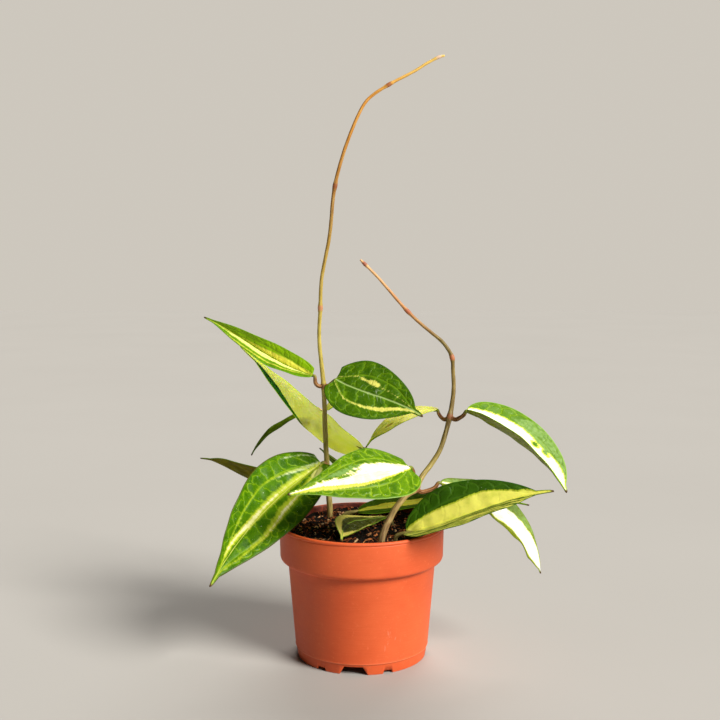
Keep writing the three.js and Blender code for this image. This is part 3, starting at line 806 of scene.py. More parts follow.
print("faces in a blade of 100 rows and 24 strips:", len(blade_faces(100, 24)))

# %% The blade builder
ROW_LENGTH = 0.85
STRIP_WIDTH = 0.95
RIM_ROUNDING = 0.22
COURSE_STEPS = 200
LEAST_ROWS = 24
LEAST_STRIPS = 12
CROWDED_BASE = 1.15


def markings_of(name, leaf, t, s, length):
    """What the finish reads to know in which marking it is."""
    pale = marking_depth(leaf, PALE.get(name, []), t, s)
    return dict(
        pale=np.minimum(pale, -spot_depth(leaf, ISLANDS.get(name, []), t, s, length)),
        gold=marking_depth(leaf, GOLD.get(name, []), t, s),
        # The sheen depth places a painted reflection, not a colour of the tissue
        silver=marking_depth(leaf, PAINTED_SHEEN.get(name, []), t, s),
        bruise=spot_depth(leaf, BRUISES.get(name, []), t, s, length),
    )


def grow_blade(name, leaf, finish, seed):
    dense = np.linspace(0, 1, COURSE_STEPS)
    way = travelled(midrib_frames(leaf, dense)[0])
    length = way[-1]
    strips = max(LEAST_STRIPS, 2 * round(leaf["half"] / STRIP_WIDTH))
    rows = max(LEAST_ROWS, round(length / ROW_LENGTH))
    t = np.linspace(0, 1, rows + 1) ** CROWDED_BASE
    out = np.linspace(-1, 1, strips + 1)
    s = np.concatenate([out, [1.0], out[::-1], [-1.0]])
    sheet = np.concatenate([np.ones(strips + 1), [0], -np.ones(strips + 1), [0]])
    s_grid = np.broadcast_to(s, (len(t), len(s)))
    t_grid = np.broadcast_to(t[:, None], s_grid.shape)
    width = half_width(leaf, t_grid)
    across = s_grid * width
    along = np.interp(t_grid, dense, way)
    edge = (1 - np.abs(s_grid)) * width
    vein = (np.abs(s_grid) - side_vein(t_grid)) * width

    lift = blade_relief(seed, sheet, along, across, edge, vein, width, s_grid)
    points = blade_points(leaf, t, s, lift)
    rounded_rim = blade_points(leaf, t, s * (1 + RIM_ROUNDING / np.maximum(width, 1)), lift)
    points = np.where((sheet == 0)[None, :, None], rounded_rim, points).reshape(-1, 3)
    faces = outward(points, blade_faces(len(t), strips))
    under = np.broadcast_to((1 - sheet) / 2, s_grid.shape)
    traits = dict(along=along, across=across, edge=edge, vein=vein, to_tip=length - along, under=under)
    traits.update(markings_of(name, leaf, t_grid, s_grid, length))
    traits = {key: np.ascontiguousarray(value).ravel() for key, value in traits.items()}
    piece = make_piece(name + "_blade", points, faces, traits, finish, name)
    seal(piece)
    return piece


print("rows every", ROW_LENGTH, "mm and strips every", STRIP_WIDTH, "mm")

# %% [markdown]
# # The net of veins
# Two long side veins run along each half of the blade. Short cross veins link them to the midrib,
# and outside them others slant forward and end in arches that follow the margin. Each place asks
# how far it is from the nearest of these lines. Counting along the leaf in steps of one pitch, with
# a slow noise added, gives cross veins that are evenly set but never quite straight. Drawn curves
# would follow a real leaf more closely, but there are hundreds of cross veins on this plant.

# %% The vein net
LOOP_EDGE = (2.6, 0.9)
WANDER = 14.0
KINK = 2.0
HALVES_APART = 0.3
OUTER_SLANT = 0.4
INNER_SLANT = -0.35
INNER_PITCH = 1.35


def vein_distance(finish, along, across, edge, pitch, arch):
    """Millimetres from the nearest vein of the net, as a socket."""
    out = finish.size_of(across)
    beyond = finish.read("vein")
    side = finish.maths("SIGN", across)
    wander = finish.noise(finish.place(along, across, 7.0), 0.11, 2)
    sway = finish.times(finish.take(wander, 0.5), WANDER)
    sway = finish.add(sway, finish.times(side, HALVES_APART * pitch))
    kink = finish.times(finish.take(finish.noise(finish.place(along, across), 0.3, 2), 0.5), KINK)
    sway = finish.add(sway, kink)

    outer_run = finish.take(finish.add(along, sway), finish.times(beyond, OUTER_SLANT))
    outer_share = finish.maths("FRACT", finish.times(outer_run, 1 / pitch))
    outer_cross = finish.times(finish.size_of(finish.take(outer_share, 0.5)), pitch)
    bow = finish.size_of(finish.maths("COSINE", finish.times(outer_share, math.pi)))
    loop_edge = finish.blend(bow, LOOP_EDGE[0] * arch, LOOP_EDGE[1] * arch)
    past_loop = finish.take(loop_edge, edge)
    outer_cross = finish.add(outer_cross, finish.step(past_loop, 0.0, 0.4, 0, 3))
    outer = finish.maths("MINIMUM", outer_cross, finish.add(finish.size_of(past_loop), 0.12))

    inner_pitch = INNER_PITCH * pitch
    inner_run = finish.add(finish.add(along, sway), finish.times(out, INNER_SLANT))
    inner_share = finish.maths("FRACT", finish.times(inner_run, 1 / inner_pitch))
    inner = finish.times(finish.size_of(finish.take(inner_share, 0.5)), inner_pitch)

    lane = finish.step(beyond, -0.1, 0.1)
    nearest = finish.blend(lane, inner, outer)
    nearest = finish.maths("MINIMUM", nearest, finish.size_of(beyond))
    return finish.maths("MINIMUM", nearest, out)


print("the arches of the net stand", LOOP_EDGE, "mm inside the margin")

# %% [markdown]
# # The look of each leaf
# One plain green leaf is written down in full, with every colour and strength that a leaf's finish
# reads. Each leaf of the plant then names only what is different about it, because some are in full
# light and dark green, and some are young and nearly yellow. A strength of nothing leaves a layer out.
# The teeth say how ragged the markings are on the left and the right half, in millimetres, and soft
# says how gradually they fade.

# %% A plain green leaf
# The sheen colour in each look is a painted reflection of the lamp on the wax
GREEN = dict(
    green=tone(92, 148, 10), deep=tone(52, 108, 4), vein=tone(150, 190, 44), core=tone(252, 250, 222),
    fringe=tone(206, 214, 30), gold=tone(212, 216, 40), rim=tone(116, 160, 30), under=tone(150, 170, 50),
    under_deep=tone(96, 122, 30), silver=tone(170, 196, 150), tip=tone(84, 62, 30), rib=tone(150, 186, 60),
    stain=None, net=0.6, pitch=8.5, arch=1.8, teeth=(1.0, 1.0), fringe_reach=(0.9, 0.9),
    mottle=0.3, streaks=0, twigs=0, line=(0.12, 0.6), flecks=0, specks=0, stripes=0, rough=0.38, shine=0.18,
    glow=0.1, glow_reach=1.2, rim_reach=0.5, rib_reach=0.5, soft=0.5, right_green=None, green_below=False,
)


def leaf_look(**changes):
    return dict(GREEN, **changes)


print("values in a look:", len(GREEN))

# %% What is different about the first eight leaves
LOOKS = {
    # This leaf's right half is painted a lighter green, as light falling on it
    "leaf_upper_left": leaf_look(
        green=tone(96, 148, 4), deep=tone(58, 106, 1), net=0.2, arch=0.8, pitch=6,
        # On this leaf the dark midrib colour is painted shade, in the fold of the blade
        fringe=tone(176, 196, 60), gold=tone(236, 232, 84), core=tone(250, 246, 150), rib=tone(70, 110, 14),
        teeth=(0.8, 0.8), fringe_reach=(0.5, 0.1), streaks=0.6, soft=0.8, right_green=tone(156, 200, 8),
    ),
    "leaf_upper_right": leaf_look(
        green=tone(76, 116, 2), deep=tone(34, 74, 0), vein=tone(118, 156, 22), gold=tone(222, 220, 104),
        net=0.7, pitch=8, arch=2.0, rib=tone(166, 192, 116), rib_reach=1.0, flecks=0.25, teeth=(2.4, 1.6),
        rim=tone(50, 84, 14), twigs=0.5, soft=0.7,
    ),
    "leaf_pale_back": leaf_look(
        core=tone(234, 254, 150), fringe=tone(150, 190, 30), under=tone(240, 255, 186),
        under_deep=tone(230, 250, 148), green=tone(20, 60, 4), deep=tone(10, 40, 2), net=0.1, shine=0.2,
        fringe_reach=(0.3, 0.3), teeth=(0.2, 0.2), rough=0.5, rim=tone(130, 160, 20), glow=1.0,
        glow_reach=6.0, green_below=True,
    ),
    "leaf_front_white": leaf_look(
        green=tone(104, 146, 0), deep=tone(44, 94, 0), vein=tone(160, 192, 40), core=tone(255, 254, 236),
        fringe=tone(216, 222, 60), gold=tone(240, 236, 100), flecks=0.5, pitch=7.5, arch=2.0,
        teeth=(1.5, 3.6), fringe_reach=(0.9, 0.5), rim=tone(150, 190, 80), rib=tone(250, 250, 230),
        soft=0.9, streaks=0.3, shine=0.2, silver=tone(134, 172, 92), specks=0.7,
    ),
    "leaf_back_right": leaf_look(
        core=tone(246, 246, 120), under=tone(255, 248, 186), under_deep=tone(246, 242, 150),
        fringe=tone(130, 170, 30), net=0.1, shine=0.25, rim=tone(80, 120, 10), rough=0.48, glow=1.0,
        glow_reach=5.0, stain=tone(140, 104, 40),
    ),
    "leaf_arching_right": leaf_look(
        green=tone(100, 144, 0), deep=tone(64, 112, 0), core=tone(255, 252, 232), vein=tone(160, 190, 40),
        fringe=tone(212, 226, 70), silver=tone(140, 176, 94), flecks=0.5, under=tone(136, 146, 6),
        under_deep=tone(106, 118, 0), rim=tone(140, 190, 10), rib=tone(252, 250, 230), teeth=(1.4, 0.5),
        soft=0.7, arch=1.3, net=0.35, shine=0.14, rough=0.45, mottle=0.15,
    ),
    "leaf_low_right": leaf_look(
        green=tone(56, 96, 6), deep=tone(34, 72, 2), core=tone(240, 236, 106), fringe=tone(176, 190, 44),
        vein=tone(80, 120, 24), under=tone(140, 140, 30), under_deep=tone(60, 84, 8), net=0.35, pitch=10,
        teeth=(1.1, 0.3), stripes=0.95, rim=tone(40, 84, 16), mottle=0.4, soft=0.9,
        stain=tone(120, 112, 64), specks=0.8,
    ),
    "leaf_drooping_right": leaf_look(
        green=tone(116, 122, 18), deep=tone(96, 108, 8), core=tone(250, 248, 236),
        fringe=tone(206, 216, 100), silver=tone(134, 168, 86), vein=tone(160, 200, 110),
        rim=tone(104, 118, 6), teeth=(1.3, 0.8), flecks=0.15, rib=tone(252, 252, 240), net=0.2, shine=0.14,
        streaks=0.3, rim_reach=1.9,
    ),
}
print("looks so far:", len(LOOKS))

# %% What is different about the other leaves
LOOKS |= {
    "leaf_low_back": leaf_look(
        green=tone(56, 84, 4), deep=tone(32, 54, 1), gold=tone(176, 170, 50), vein=tone(80, 92, 34),
        net=0.25, shine=0.06, rough=0.5,
    ),
    "leaf_small_low": leaf_look(
        green=tone(84, 88, 26), deep=tone(52, 60, 14), gold=tone(214, 202, 96), vein=tone(48, 60, 26),
        net=0.5, pitch=5, arch=1.0, teeth=(1.4, 1.8), flecks=0.6, shine=0.12, stain=tone(50, 52, 30),
        specks=0.9,
    ),
    "leaf_large_left": leaf_look(
        green=tone(82, 128, 0), deep=tone(36, 82, 0), vein=tone(142, 176, 18), core=tone(242, 238, 180),
        fringe=tone(190, 200, 56), gold=tone(168, 186, 40), silver=tone(214, 226, 176), pitch=9, arch=2.3,
        net=0.45, teeth=(1.8, 1.8), flecks=0.3, rim=tone(84, 80, 20), rib=tone(190, 196, 90), soft=1.3,
        stain=tone(206, 204, 124), streaks=0.35, mottle=0.4, shine=0.13, line=(0.2, 0.95), rim_reach=0.7,
        specks=0.9,
    ),
    "leaf_far_left": leaf_look(
        green=tone(60, 70, 8), deep=tone(40, 50, 4), under=tone(124, 120, 2), under_deep=tone(92, 90, 0),
        net=0.1, shine=0.06, rough=0.6, vein=tone(90, 90, 20),
    ),
    "leaf_thin_left": leaf_look(
        green=tone(90, 114, 2), deep=tone(66, 88, 0), under=tone(100, 124, 4), under_deep=tone(74, 98, 2),
        net=0.1, shine=0.05, rough=0.55,
    ),
    "leaf_hidden_tip": leaf_look(
        green=tone(36, 58, 14), deep=tone(22, 38, 8), under=tone(40, 58, 16), under_deep=tone(26, 40, 8),
        net=0.1, shine=0.25,
    ),
    "leaf_young": leaf_look(
        core=tone(226, 222, 110), green=tone(150, 170, 40), under=tone(214, 214, 90), net=0.1, arch=0.4,
        pitch=4,
    ),
}
print("looks for", len(LOOKS), "leaves")

# %% [markdown]
# # The layers of a leaf's finish
# A hoya leaf has a waxy satin skin. Between the veins it is deep green, and it grows lighter toward
# each vein. The finish is built up as a painter would: green tissue first, then a painted sheen that
# stands in for the lamp's reflection on the wax, then the golden and cream markings, then small
# things such as flecks, specks and stripes, and last the under side, the bruises, the margin and the
# dry tip. Each layer is one function that takes the colour so far and gives back the new one. All the
# layers read the same few sockets, which are made once. The markings get ragged, comb-like edges
# from a noise that is stretched along the cross veins.

# %% What every layer reads
RAGGED = 3.0
LEAF_SHIFT = 40.0


def leaf_places(finish, look, seed):
    """The sockets that every layer of a leaf reads. Each leaf looks at its own stretch of the noises."""
    across = finish.read("across")
    along = finish.add(finish.read("along"), LEAF_SHIFT * seed)
    out = finish.size_of(across)
    slanted = finish.place(finish.take(along, finish.times(out, 0.45)), finish.times(across, 0.2))
    where = finish.place(along, across)
    right_half = finish.step(across, -0.3, 0.3)
    reach = finish.blend(right_half, RAGGED * look["teeth"][0], RAGGED * look["teeth"][1])
    comb = finish.noise(slanted, 0.4, 5, 0.78)
    jag = finish.times(finish.take(comb, 0.5), reach)
    edge = finish.read("edge")
    return SimpleNamespace(
        across=across, out=out, slanted=slanted, where=where, right_half=right_half, jag=jag,
        edge=edge, cloud=finish.noise(where, 0.11, 4), grain=finish.noise(where, 1.6, 3),
        away=vein_distance(finish, along, across, edge, look["pitch"], look["arch"]),
        pale=finish.add(finish.read("pale"), jag),
    )


print("the markings are ragged by up to", RAGGED / 2, "mm for each unit of teeth")

# %% Green tissue and the drawn veins
def green_tissue(finish, look, at):
    colour = finish.mix(finish.step(at.cloud, 0.3, 0.7, 0.15, 0.75), look["deep"], look["green"])
    colour = finish.mix(finish.step(at.away, 0.2, 3.2, 0.55, 0), colour, look["green"])
    colour = finish.mix(finish.step(at.away, 0.1, 1.3, 0.3 * look["net"], 0), colour, look["vein"])
    patchy = finish.step(finish.noise(at.where, 0.07, 2), 0.32, 0.6, 0.35, 1)
    drawn = finish.times(finish.step(at.away, *look["line"], look["net"], 0), patchy)
    colour = finish.mix(drawn, colour, look["vein"])
    fine = finish.cell_edge(finish.stretch(at.where, 0.8, 1.1, 1), 0.42)
    colour = finish.mix(finish.step(fine, 0.0, 0.09, 0.22 * look["net"], 0), colour, look["vein"])
    # A painted highlight: the right half of a leaf may be painted a lighter green, where light falls on it
    if look["right_green"]:
        colour = finish.mix(finish.times(at.right_half, 0.6), colour, look["right_green"])
    return colour


print("leaves with a second green:", [name for name, look in LOOKS.items() if look["right_green"]])

# %% Painted sheen, gold and cream
# A painted reflection: a frosty grey green laid where the lamp's gloss shows on the wax
def silver_layer(finish, look, at, colour):
    sheen_mask = finish.step(finish.add(finish.read("silver"), at.jag), -0.5, 1.2, 0, 0.85)
    sheen_mask = finish.times(sheen_mask, finish.step(finish.noise(at.where, 0.3, 4, 0.65), 0.36, 0.58, 0.35, 1))
    return finish.mix(sheen_mask, colour, look["silver"])


def gold_layer(finish, look, at, colour):
    gold = finish.step(finish.add(finish.read("gold"), at.jag), -look["soft"], look["soft"])
    return finish.mix(gold, colour, look["gold"])


def cream_layer(finish, look, at, colour):
    """A yellow fringe, and inside it cream with clouds and long streaks of green."""
    fringe = finish.blend(at.right_half, look["fringe_reach"][0], look["fringe_reach"][1])
    colour = finish.mix(finish.step(finish.add(at.pale, fringe), -0.1, 0.45), colour, look["fringe"])
    cream = finish.mix(finish.step(at.cloud, 0.42, 0.66, 0, look["mottle"]), look["core"], look["fringe"])
    if look["streaks"]:
        long_grain = finish.noise(finish.stretch(at.where, 0.07, 1.0, 1), 0.9, 3, 0.6)
        cream = finish.mix(finish.step(long_grain, 0.52, 0.64, 0, look["streaks"]), cream, look["vein"])
    return finish.mix(finish.step(at.pale, -0.3 * look["soft"], 0.8 * look["soft"]), colour, cream)


print("layers of marking:", silver_layer.__name__, gold_layer.__name__, cream_layer.__name__)

# %% Small marks on the upper side
TWIGS_MIDDLE = 30.0
TWIG_COLOUR = tone(214, 226, 190)
FLECK_COLOUR = tone(220, 232, 196)
SPECK_COLOUR = tone(226, 234, 206)


def twigs(finish, look, at, colour):
    """Fine pale branches beside the middle of the midrib."""
    patch = finish.step(finish.noise(at.where, 0.16, 2), 0.46, 0.6)
    near_rib = finish.times(finish.step(at.out, 1.0, 7.0, 1, 0), patch)
    from_middle = finish.size_of(finish.take(finish.read("along"), TWIGS_MIDDLE))
    near_rib = finish.times(near_rib, finish.step(from_middle, 6.0, 13.0, 1, 0))
    cells = finish.cell_edge(finish.stretch(at.slanted, 1.0, 3.0, 1), 0.24)
    branch = finish.step(cells, 0.0, 0.07, look["twigs"], 0)
    return finish.mix(finish.times(branch, near_rib), colour, TWIG_COLOUR)


def flecks(finish, look, at, colour):
    dashes = finish.noise(at.slanted, 1.7, 2)
    return finish.mix(finish.step(dashes, 0.66, 0.74, 0, look["flecks"]), colour, FLECK_COLOUR)


def specks(finish, look, at, colour):
    dots = finish.noise(at.where, 0.8, 1)
    return finish.mix(finish.step(dots, 0.77, 0.8, 0, look["specks"]), colour, SPECK_COLOUR)


def stripes(finish, look, at, colour):
    """Long green stripes along the right half."""
    bars = finish.noise(finish.stretch(at.where, 0.05, 1.0, 1), 0.5, 3, 0.6)
    bars = finish.step(bars, 0.45, 0.53, 0.1, look["stripes"])
    return finish.mix(finish.times(finish.step(at.across, 1.0, 2.5), bars), colour, look["green"])


SMALL_MARKS = {"twigs": twigs, "flecks": flecks, "specks": specks, "stripes": stripes}
print("small marks:", list(SMALL_MARKS))

# %% The under side, bruises, margin and tip
def under_layer(finish, look, at, colour):
    below = finish.mix(finish.step(at.cloud, 0.35, 0.7), look["under_deep"], look["under"])
    below = finish.mix(finish.step(at.away, 0.1, 0.9, 0.25, 0), below, look["under"])
    if look["green_below"]:
        below = finish.mix(finish.step(finish.read("pale"), -0.3, 0.3), look["deep"], below)
    return finish.mix(finish.step(finish.read("under"), 0.45, 0.55), colour, below)


def worn_layer(finish, look, at, colour):
    """Brown bruises where a leaf has them, then the margin all round and the dry tip."""
    if look["stain"]:
        brown = finish.step(finish.add(finish.read("bruise"), finish.times(at.jag, 0.4)), -0.2, 0.4, 0, 0.8)
        colour = finish.mix(brown, colour, look["stain"])
    colour = finish.mix(finish.step(at.edge, 0.05, look["rim_reach"], 0.8, 0), colour, look["rim"])
    return finish.mix(finish.step(finish.read("to_tip"), 0.8, 3.2, 1, 0), colour, look["tip"])


print("bruised leaves:", [name for name, look in LOOKS.items() if look["stain"]])

# %% The whole finish of a leaf
SKIN_RELIEF = 0.34
GLOW_COLOUR = (0.8, 1.0, 0.2)


def leaf_finish(name, look, seed):
    finish = Finish(name + "_skin", look["rough"])
    at = leaf_places(finish, look, seed)
    colour = green_tissue(finish, look, at)
    for layer in (silver_layer, gold_layer, cream_layer):
        colour = layer(finish, look, at, colour)
    for mark, layer in SMALL_MARKS.items():
        if look[mark]:
            colour = layer(finish, look, at, colour)
    colour = finish.mix(finish.step(at.out, 0.2, look["rib_reach"], 0.85, 0), colour, look["rib"])
    colour = under_layer(finish, look, at, colour)
    finish.colour(worn_layer(finish, look, at, colour))

    finish.roughness(finish.step(at.grain, 0.2, 0.8, look["rough"] - 0.05, look["rough"] + 0.12))
    swell = finish.times(finish.step(at.away, 0.0, 1.6, 0, 0.8), finish.step(at.pale, -0.5, 1.0, 1, 0.25))
    finish.relief(finish.add(finish.times(at.grain, 0.25), swell), SKIN_RELIEF)
    finish.shine(look["shine"])
    finish.glow(look["glow"], GLOW_COLOUR, look["glow_reach"])
    return finish.material


print("the skin's relief is about", SKIN_RELIEF, "mm deep")

# %% [markdown]
# # All the leaves
# Every leaf is grown by the same two calls, one for its finish and one for its blade. The number of
# a leaf in the table is also the seed of its noises, so each leaf waves and swells in its own way
# and comes out the same each time.

# %% Growing all the leaves
for number, (leaf_name, leaf_shape) in enumerate(LEAVES.items()):
    leaf_skin = leaf_finish(leaf_name, LOOKS[leaf_name], number + 1)
    blade = grow_blade(leaf_name, leaf_shape, leaf_skin, number + 1)
    print(blade.name, len(blade.data.polygons), "faces")

# %% [markdown]
# # Stems and leaf stalks
# A stem is a tube along a smooth curve through measured stations. Where a pair of leaves grows it
# swells into a joint with a fine ring on each side. Many sides and short steps keep the bends
# round. A bevelled curve object would give the same even tube, but not the joints, the slightly
# uneven wood or the numbers that the finish reads. The tubes of the stalks start inside the joints
# and end under the leaf bases, so nothing is left hanging.

# %% A smooth course
def root_distance(first, second):
    """The square root of the distance, which keeps a curve from looping between uneven stations."""
    return max(1e-4, np.linalg.norm(second[:3] - first[:3]) ** 0.5)


def smooth_course(stations, spacing):
    """Points and radii of a curve that passes evenly through all the stations."""
    knots = np.array([station[:4] for station in stations], float)
    ends = np.vstack([2 * knots[0] - knots[1], knots, 2 * knots[-1] - knots[-2]])
    pieces = []
    for k in range(1, len(ends) - 2):
        p0, p1, p2, p3 = ends[k - 1 : k + 3]
        before, gap, after = (root_distance(p0, p1), root_distance(p1, p2), root_distance(p2, p3))
        start = ((p1 - p0) / before - (p2 - p0) / (before + gap) + (p2 - p1) / gap) * gap
        finish = ((p2 - p1) / gap - (p3 - p1) / (gap + after) + (p3 - p2) / after) * gap
        count = max(2, math.ceil(np.linalg.norm(p2[:3] - p1[:3]) / spacing))
        u = np.linspace(0, 1, count, endpoint=False)[:, None]
        curve = (2 * u**3 - 3 * u**2 + 1) * p1 + (u**3 - 2 * u**2 + u) * start
        curve = curve + (3 * u**2 - 2 * u**3) * p2 + (u**3 - u**2) * finish
        curve[:, 3] = p1[3] + (p2[3] - p1[3]) * u[:, 0]
        pieces.append(curve)
    pieces.append(knots[-1:])
    course = np.vstack(pieces)
    return course[:, :3], course[:, 3]


print("root distance over 4 mm:", root_distance(np.zeros(3), np.array([4, 0, 0])))

# %% The tube builder
JOINT_REACH = 2.5
JOINT_SWELLING = 0.35
RING_SWELLING = 0.07
RING_WIDTH = 0.6
UNEVENNESS = 0.035
UNEVEN_LENGTH = 9
STEM_SIDES = 20
STEM_SPACING = 0.9


def swollen(course, radius, joints):
    """The radii with a swelling and a fine ring on each side at every joint, and how near a joint is."""
    nearness = np.zeros(len(course))
    for place in joints:
        apart = np.linalg.norm(course - place, axis=1)
        bump = np.exp(-((apart / JOINT_REACH) ** 2))
        nearness = np.maximum(nearness, bump)
        radius = radius * (1 + JOINT_SWELLING * bump)
        radius = radius * (1 + hump(apart - JOINT_REACH, RING_SWELLING, RING_WIDTH))
    return radius, nearness


def tube(stations, sides=STEM_SIDES, spacing=STEM_SPACING, seed=0):
    """Points, faces and traits of a round tube with swollen joints and closed ends."""
    course, radius = smooth_course(stations, spacing)
    joints = [np.array(station[:3], float) for station in stations if len(station) > 4]
    radius, nearness = swollen(course, radius, joints)
    along = travelled(course)
    direction = unit(np.gradient(course, axis=0))
    across = carried(np.cross((0, 1, 0), direction[0]), direction)
    aside = np.cross(direction, across)
    turn = np.linspace(0, 2 * np.pi, sides, endpoint=False)
    uneven = 1 + UNEVENNESS * ripple(along[:, None], 3 * np.cos(turn) + 2, UNEVEN_LENGTH, seed + 7)
    out = across[:, None] * np.cos(turn)[:, None] + aside[:, None] * np.sin(turn)[:, None]
    points = course[:, None] + out * (radius[:, None] * uneven)[..., None]
    index = np.arange(points.shape[0] * sides).reshape(-1, sides)
    beside = np.roll(index, -1, axis=1)
    faces = np.stack([index[:-1], beside[:-1], beside[1:], index[1:]], axis=-1).reshape(-1, 4)
    first, last = index.size, index.size + 1
    caps = [(first, beside[0, k], index[0, k]) for k in range(sides)]
    caps += [(last, index[-1, k], beside[-1, k]) for k in range(sides)]

    def spread(ring_values, end_values):
        return np.append(np.broadcast_to(ring_values, (len(course), sides)).ravel(), end_values)

    traits = dict(
        along=spread(along[:, None], [along[0], along[-1]]),
        joint=spread(nearness[:, None], [nearness[0], nearness[-1]]),
        side=spread(np.cos(turn), [0, 0]),
        front=spread(np.sin(turn), [0, 0]),
        ahead=spread(along[-1] - along[:, None], [along[-1], 0]),
    )
    traits["share"] = traits["along"] / along[-1]
    points = np.vstack([points.reshape(-1, 3), course[:1], course[-1:]])
    return points, corners_of(faces) + caps, traits


def gather(parts):
    """Joins several (points, faces, traits) into one mesh, with a part number on each vertex."""
    points, faces, traits = [], [], {}
    start = 0
    for number, (part_points, part_faces, part_traits) in enumerate(parts):
        points.append(part_points)
        faces += [tuple(start + corner for corner in face) for face in part_faces]
        part_traits = dict(part_traits, part=np.full(len(part_points), float(number)))
        for key, values in part_traits.items():
            traits.setdefault(key, []).append(values)
        start += len(part_points)
    return np.vstack(points), faces, {key: np.concatenate(values) for key, values in traits.items()}


print("a joint swells the stem by", JOINT_SWELLING)

# %% [markdown]
# # The finish of stems
# The wood is matt with a satin streak. A long thin noise gives the pale streaks that run along it,
# a fine noise gives the freckles, and the joints turn brown. The main colour is a ramp along the
# length, because old wood at the foot is grey brown and new growth is olive, then gold. The leaf
# stalks are parts of the same mesh, and their part number tells the finish to colour them darker.

# %% The stem finish
RIB_LENGTH = 8.0
PALE_STREAK = tone(232, 214, 140)
DARK_STREAK = tone(60, 42, 16)
STALK_FLECK = tone(60, 36, 16)
STALK_GREEN = tone(122, 140, 44)
WOOD_RELIEF = 0.16


def stem_finish(name, ramp, joint_ramp, stalk_colour, stalk_highlight, rough=0.5):
    finish = Finish(name, rough)
    along, side, front = finish.read("along"), finish.read("side"), finish.read("front")
    where = finish.place(side, front, finish.times(along, 0.06))
    streak = finish.noise(where, 2.4, 4)
    fleck = finish.noise(finish.place(finish.times(side, 2.0), front, along), 1.1, 4, 0.7)
    colour = finish.ramp(finish.read("share"), ramp)
    pale = finish.mix(0.3, colour, PALE_STREAK)
    dark = finish.mix(0.45, colour, DARK_STREAK)
    colour = finish.mix(finish.step(streak, 0.5, 0.66), colour, pale)
    colour = finish.mix(finish.step(streak, 0.5, 0.34), colour, dark)
    colour = finish.mix(finish.step(fleck, 0.6, 0.72, 0, 0.5), colour, dark)
    ring = finish.ramp(finish.read("share"), joint_ramp)
    colour = finish.mix(finish.step(finish.read("joint"), 0.25, 0.9, 0, 0.85), colour, ring)
    # The stalks' pale streaks are a painted highlight on the dark brown
    stalk = finish.mix(finish.step(streak, 0.4, 0.62), stalk_colour, stalk_highlight)
    stalk = finish.mix(finish.step(fleck, 0.6, 0.75, 0, 0.5), stalk, STALK_FLECK)
    greening = finish.step(finish.read("ahead"), RIB_LENGTH + 1.0, RIB_LENGTH + 5.0, 0.9, 0)
    stalk = finish.mix(greening, stalk, STALK_GREEN)
    colour = finish.mix(finish.step(finish.read("part"), 0.4, 0.6), colour, stalk)
    finish.colour(colour)
    finish.roughness(finish.step(fleck, 0.3, 0.7, rough - 0.06, rough + 0.12))
    height = finish.add(finish.times(streak, 0.6), finish.times(fleck, 0.6))
    finish.relief(height, WOOD_RELIEF)
    finish.shine(0.4)
    return finish.material


print("green ribs are", RIB_LENGTH, "mm long")

# %% [markdown]
# # Where the stems run
# Every station is a place and a radius, and a fifth value marks a joint. Three stems and four lone
# stalks stand in the mix. A leaf stalk starts inside its joint and runs out as a thinning rib under
# the base of its leaf, so that the leaf looks grown on and nothing is left hanging.

# %% Feet and leaf stalks
SOIL_LEVEL = 91
HOLE_DEPTH = 14
STALK_RUN = 1.6
RIB_PLACES = (0, 1.5, 4.5, RIB_LENGTH)
RIB_SIZES = ((0.85, 0.95), (0.85, 0.6), (0.8, 0.3))


def foot(x, y, radius):
    heights = (SOIL_LEVEL - HOLE_DEPTH + 1, SOIL_LEVEL - 4, SOIL_LEVEL + 3)
    return [(x, y, height, radius) for height in heights]


def stalk_to(leaf_name, stations, radius=1.4, from_below=False):
    """A leaf stalk that passes the given places and ends as a rib under the base of its leaf."""
    shape = LEAVES[leaf_name]
    length = np.linalg.norm(np.diff(midrib_frames(shape, np.linspace(0, 1, 50))[0], axis=0), axis=1).sum()
    place, along, _, face = midrib_frames(shape, np.array(RIB_PLACES) / length)
    if from_below:
        ends = [(place[0] + along[0] * 0.2 - face[0] * 0.7, 0.85 * radius)]
    else:
        ends = [(place[0] - along[0] * STALK_RUN, 0.9 * radius), (place[0] - along[0] * 0.3, 0.75 * radius)]
    for k, (drop, thick) in enumerate(RIB_SIZES, start=1):
        ends.append((place[k] - face[k] * drop, thick))
    return stations + [tuple(spot) + (thick,) for spot, thick in ends]


print("a foot goes", HOLE_DEPTH, "mm into the mix")

# %% The tall stem
LEFT_LOW = (-26, 31, 133, 2.0, True)
LEFT_HIGH = (-28, 23, 193, 1.7, True)
left_stem = foot(-24, 35, 2.3) + [
    LEFT_LOW[:4], (-27, 28, 155, 1.8), LEFT_HIGH, (-31, 20, 228, 1.4), (-30, 17, 251, 1.4, True),
    (-29, 15, 271, 1.3), (-23, 11, 303, 1.3), (-19, 8, 338, 1.3, True), (-10, 6, 369, 1.2), (2, 5, 395, 1.1),
    (8, 5, 401, 1.1), (19, 5, 408, 1.1, True), (38, 6, 418, 1.0), (46, 6, 423, 1.0), (54, 6, 427, 0.9, True),
    (58, 6, 428, 0.6),
]
left_stalks = [
    stalk_to("leaf_upper_left", [LEFT_HIGH[:4], (-31.8, 22.5, 193, 1.5), (-33.9, 22, 195.3, 1.5)]),
    stalk_to(
        "leaf_upper_right", [LEFT_HIGH[:4], (-24.5, 21.5, 193.5, 1.5), (-21.5, 19.2, 196.0, 1.4)],
        from_below=True,
    ),
    stalk_to("leaf_large_left", [LEFT_LOW[:4]], 1.5),
]
print("stations of the tall stem:", len(left_stem))

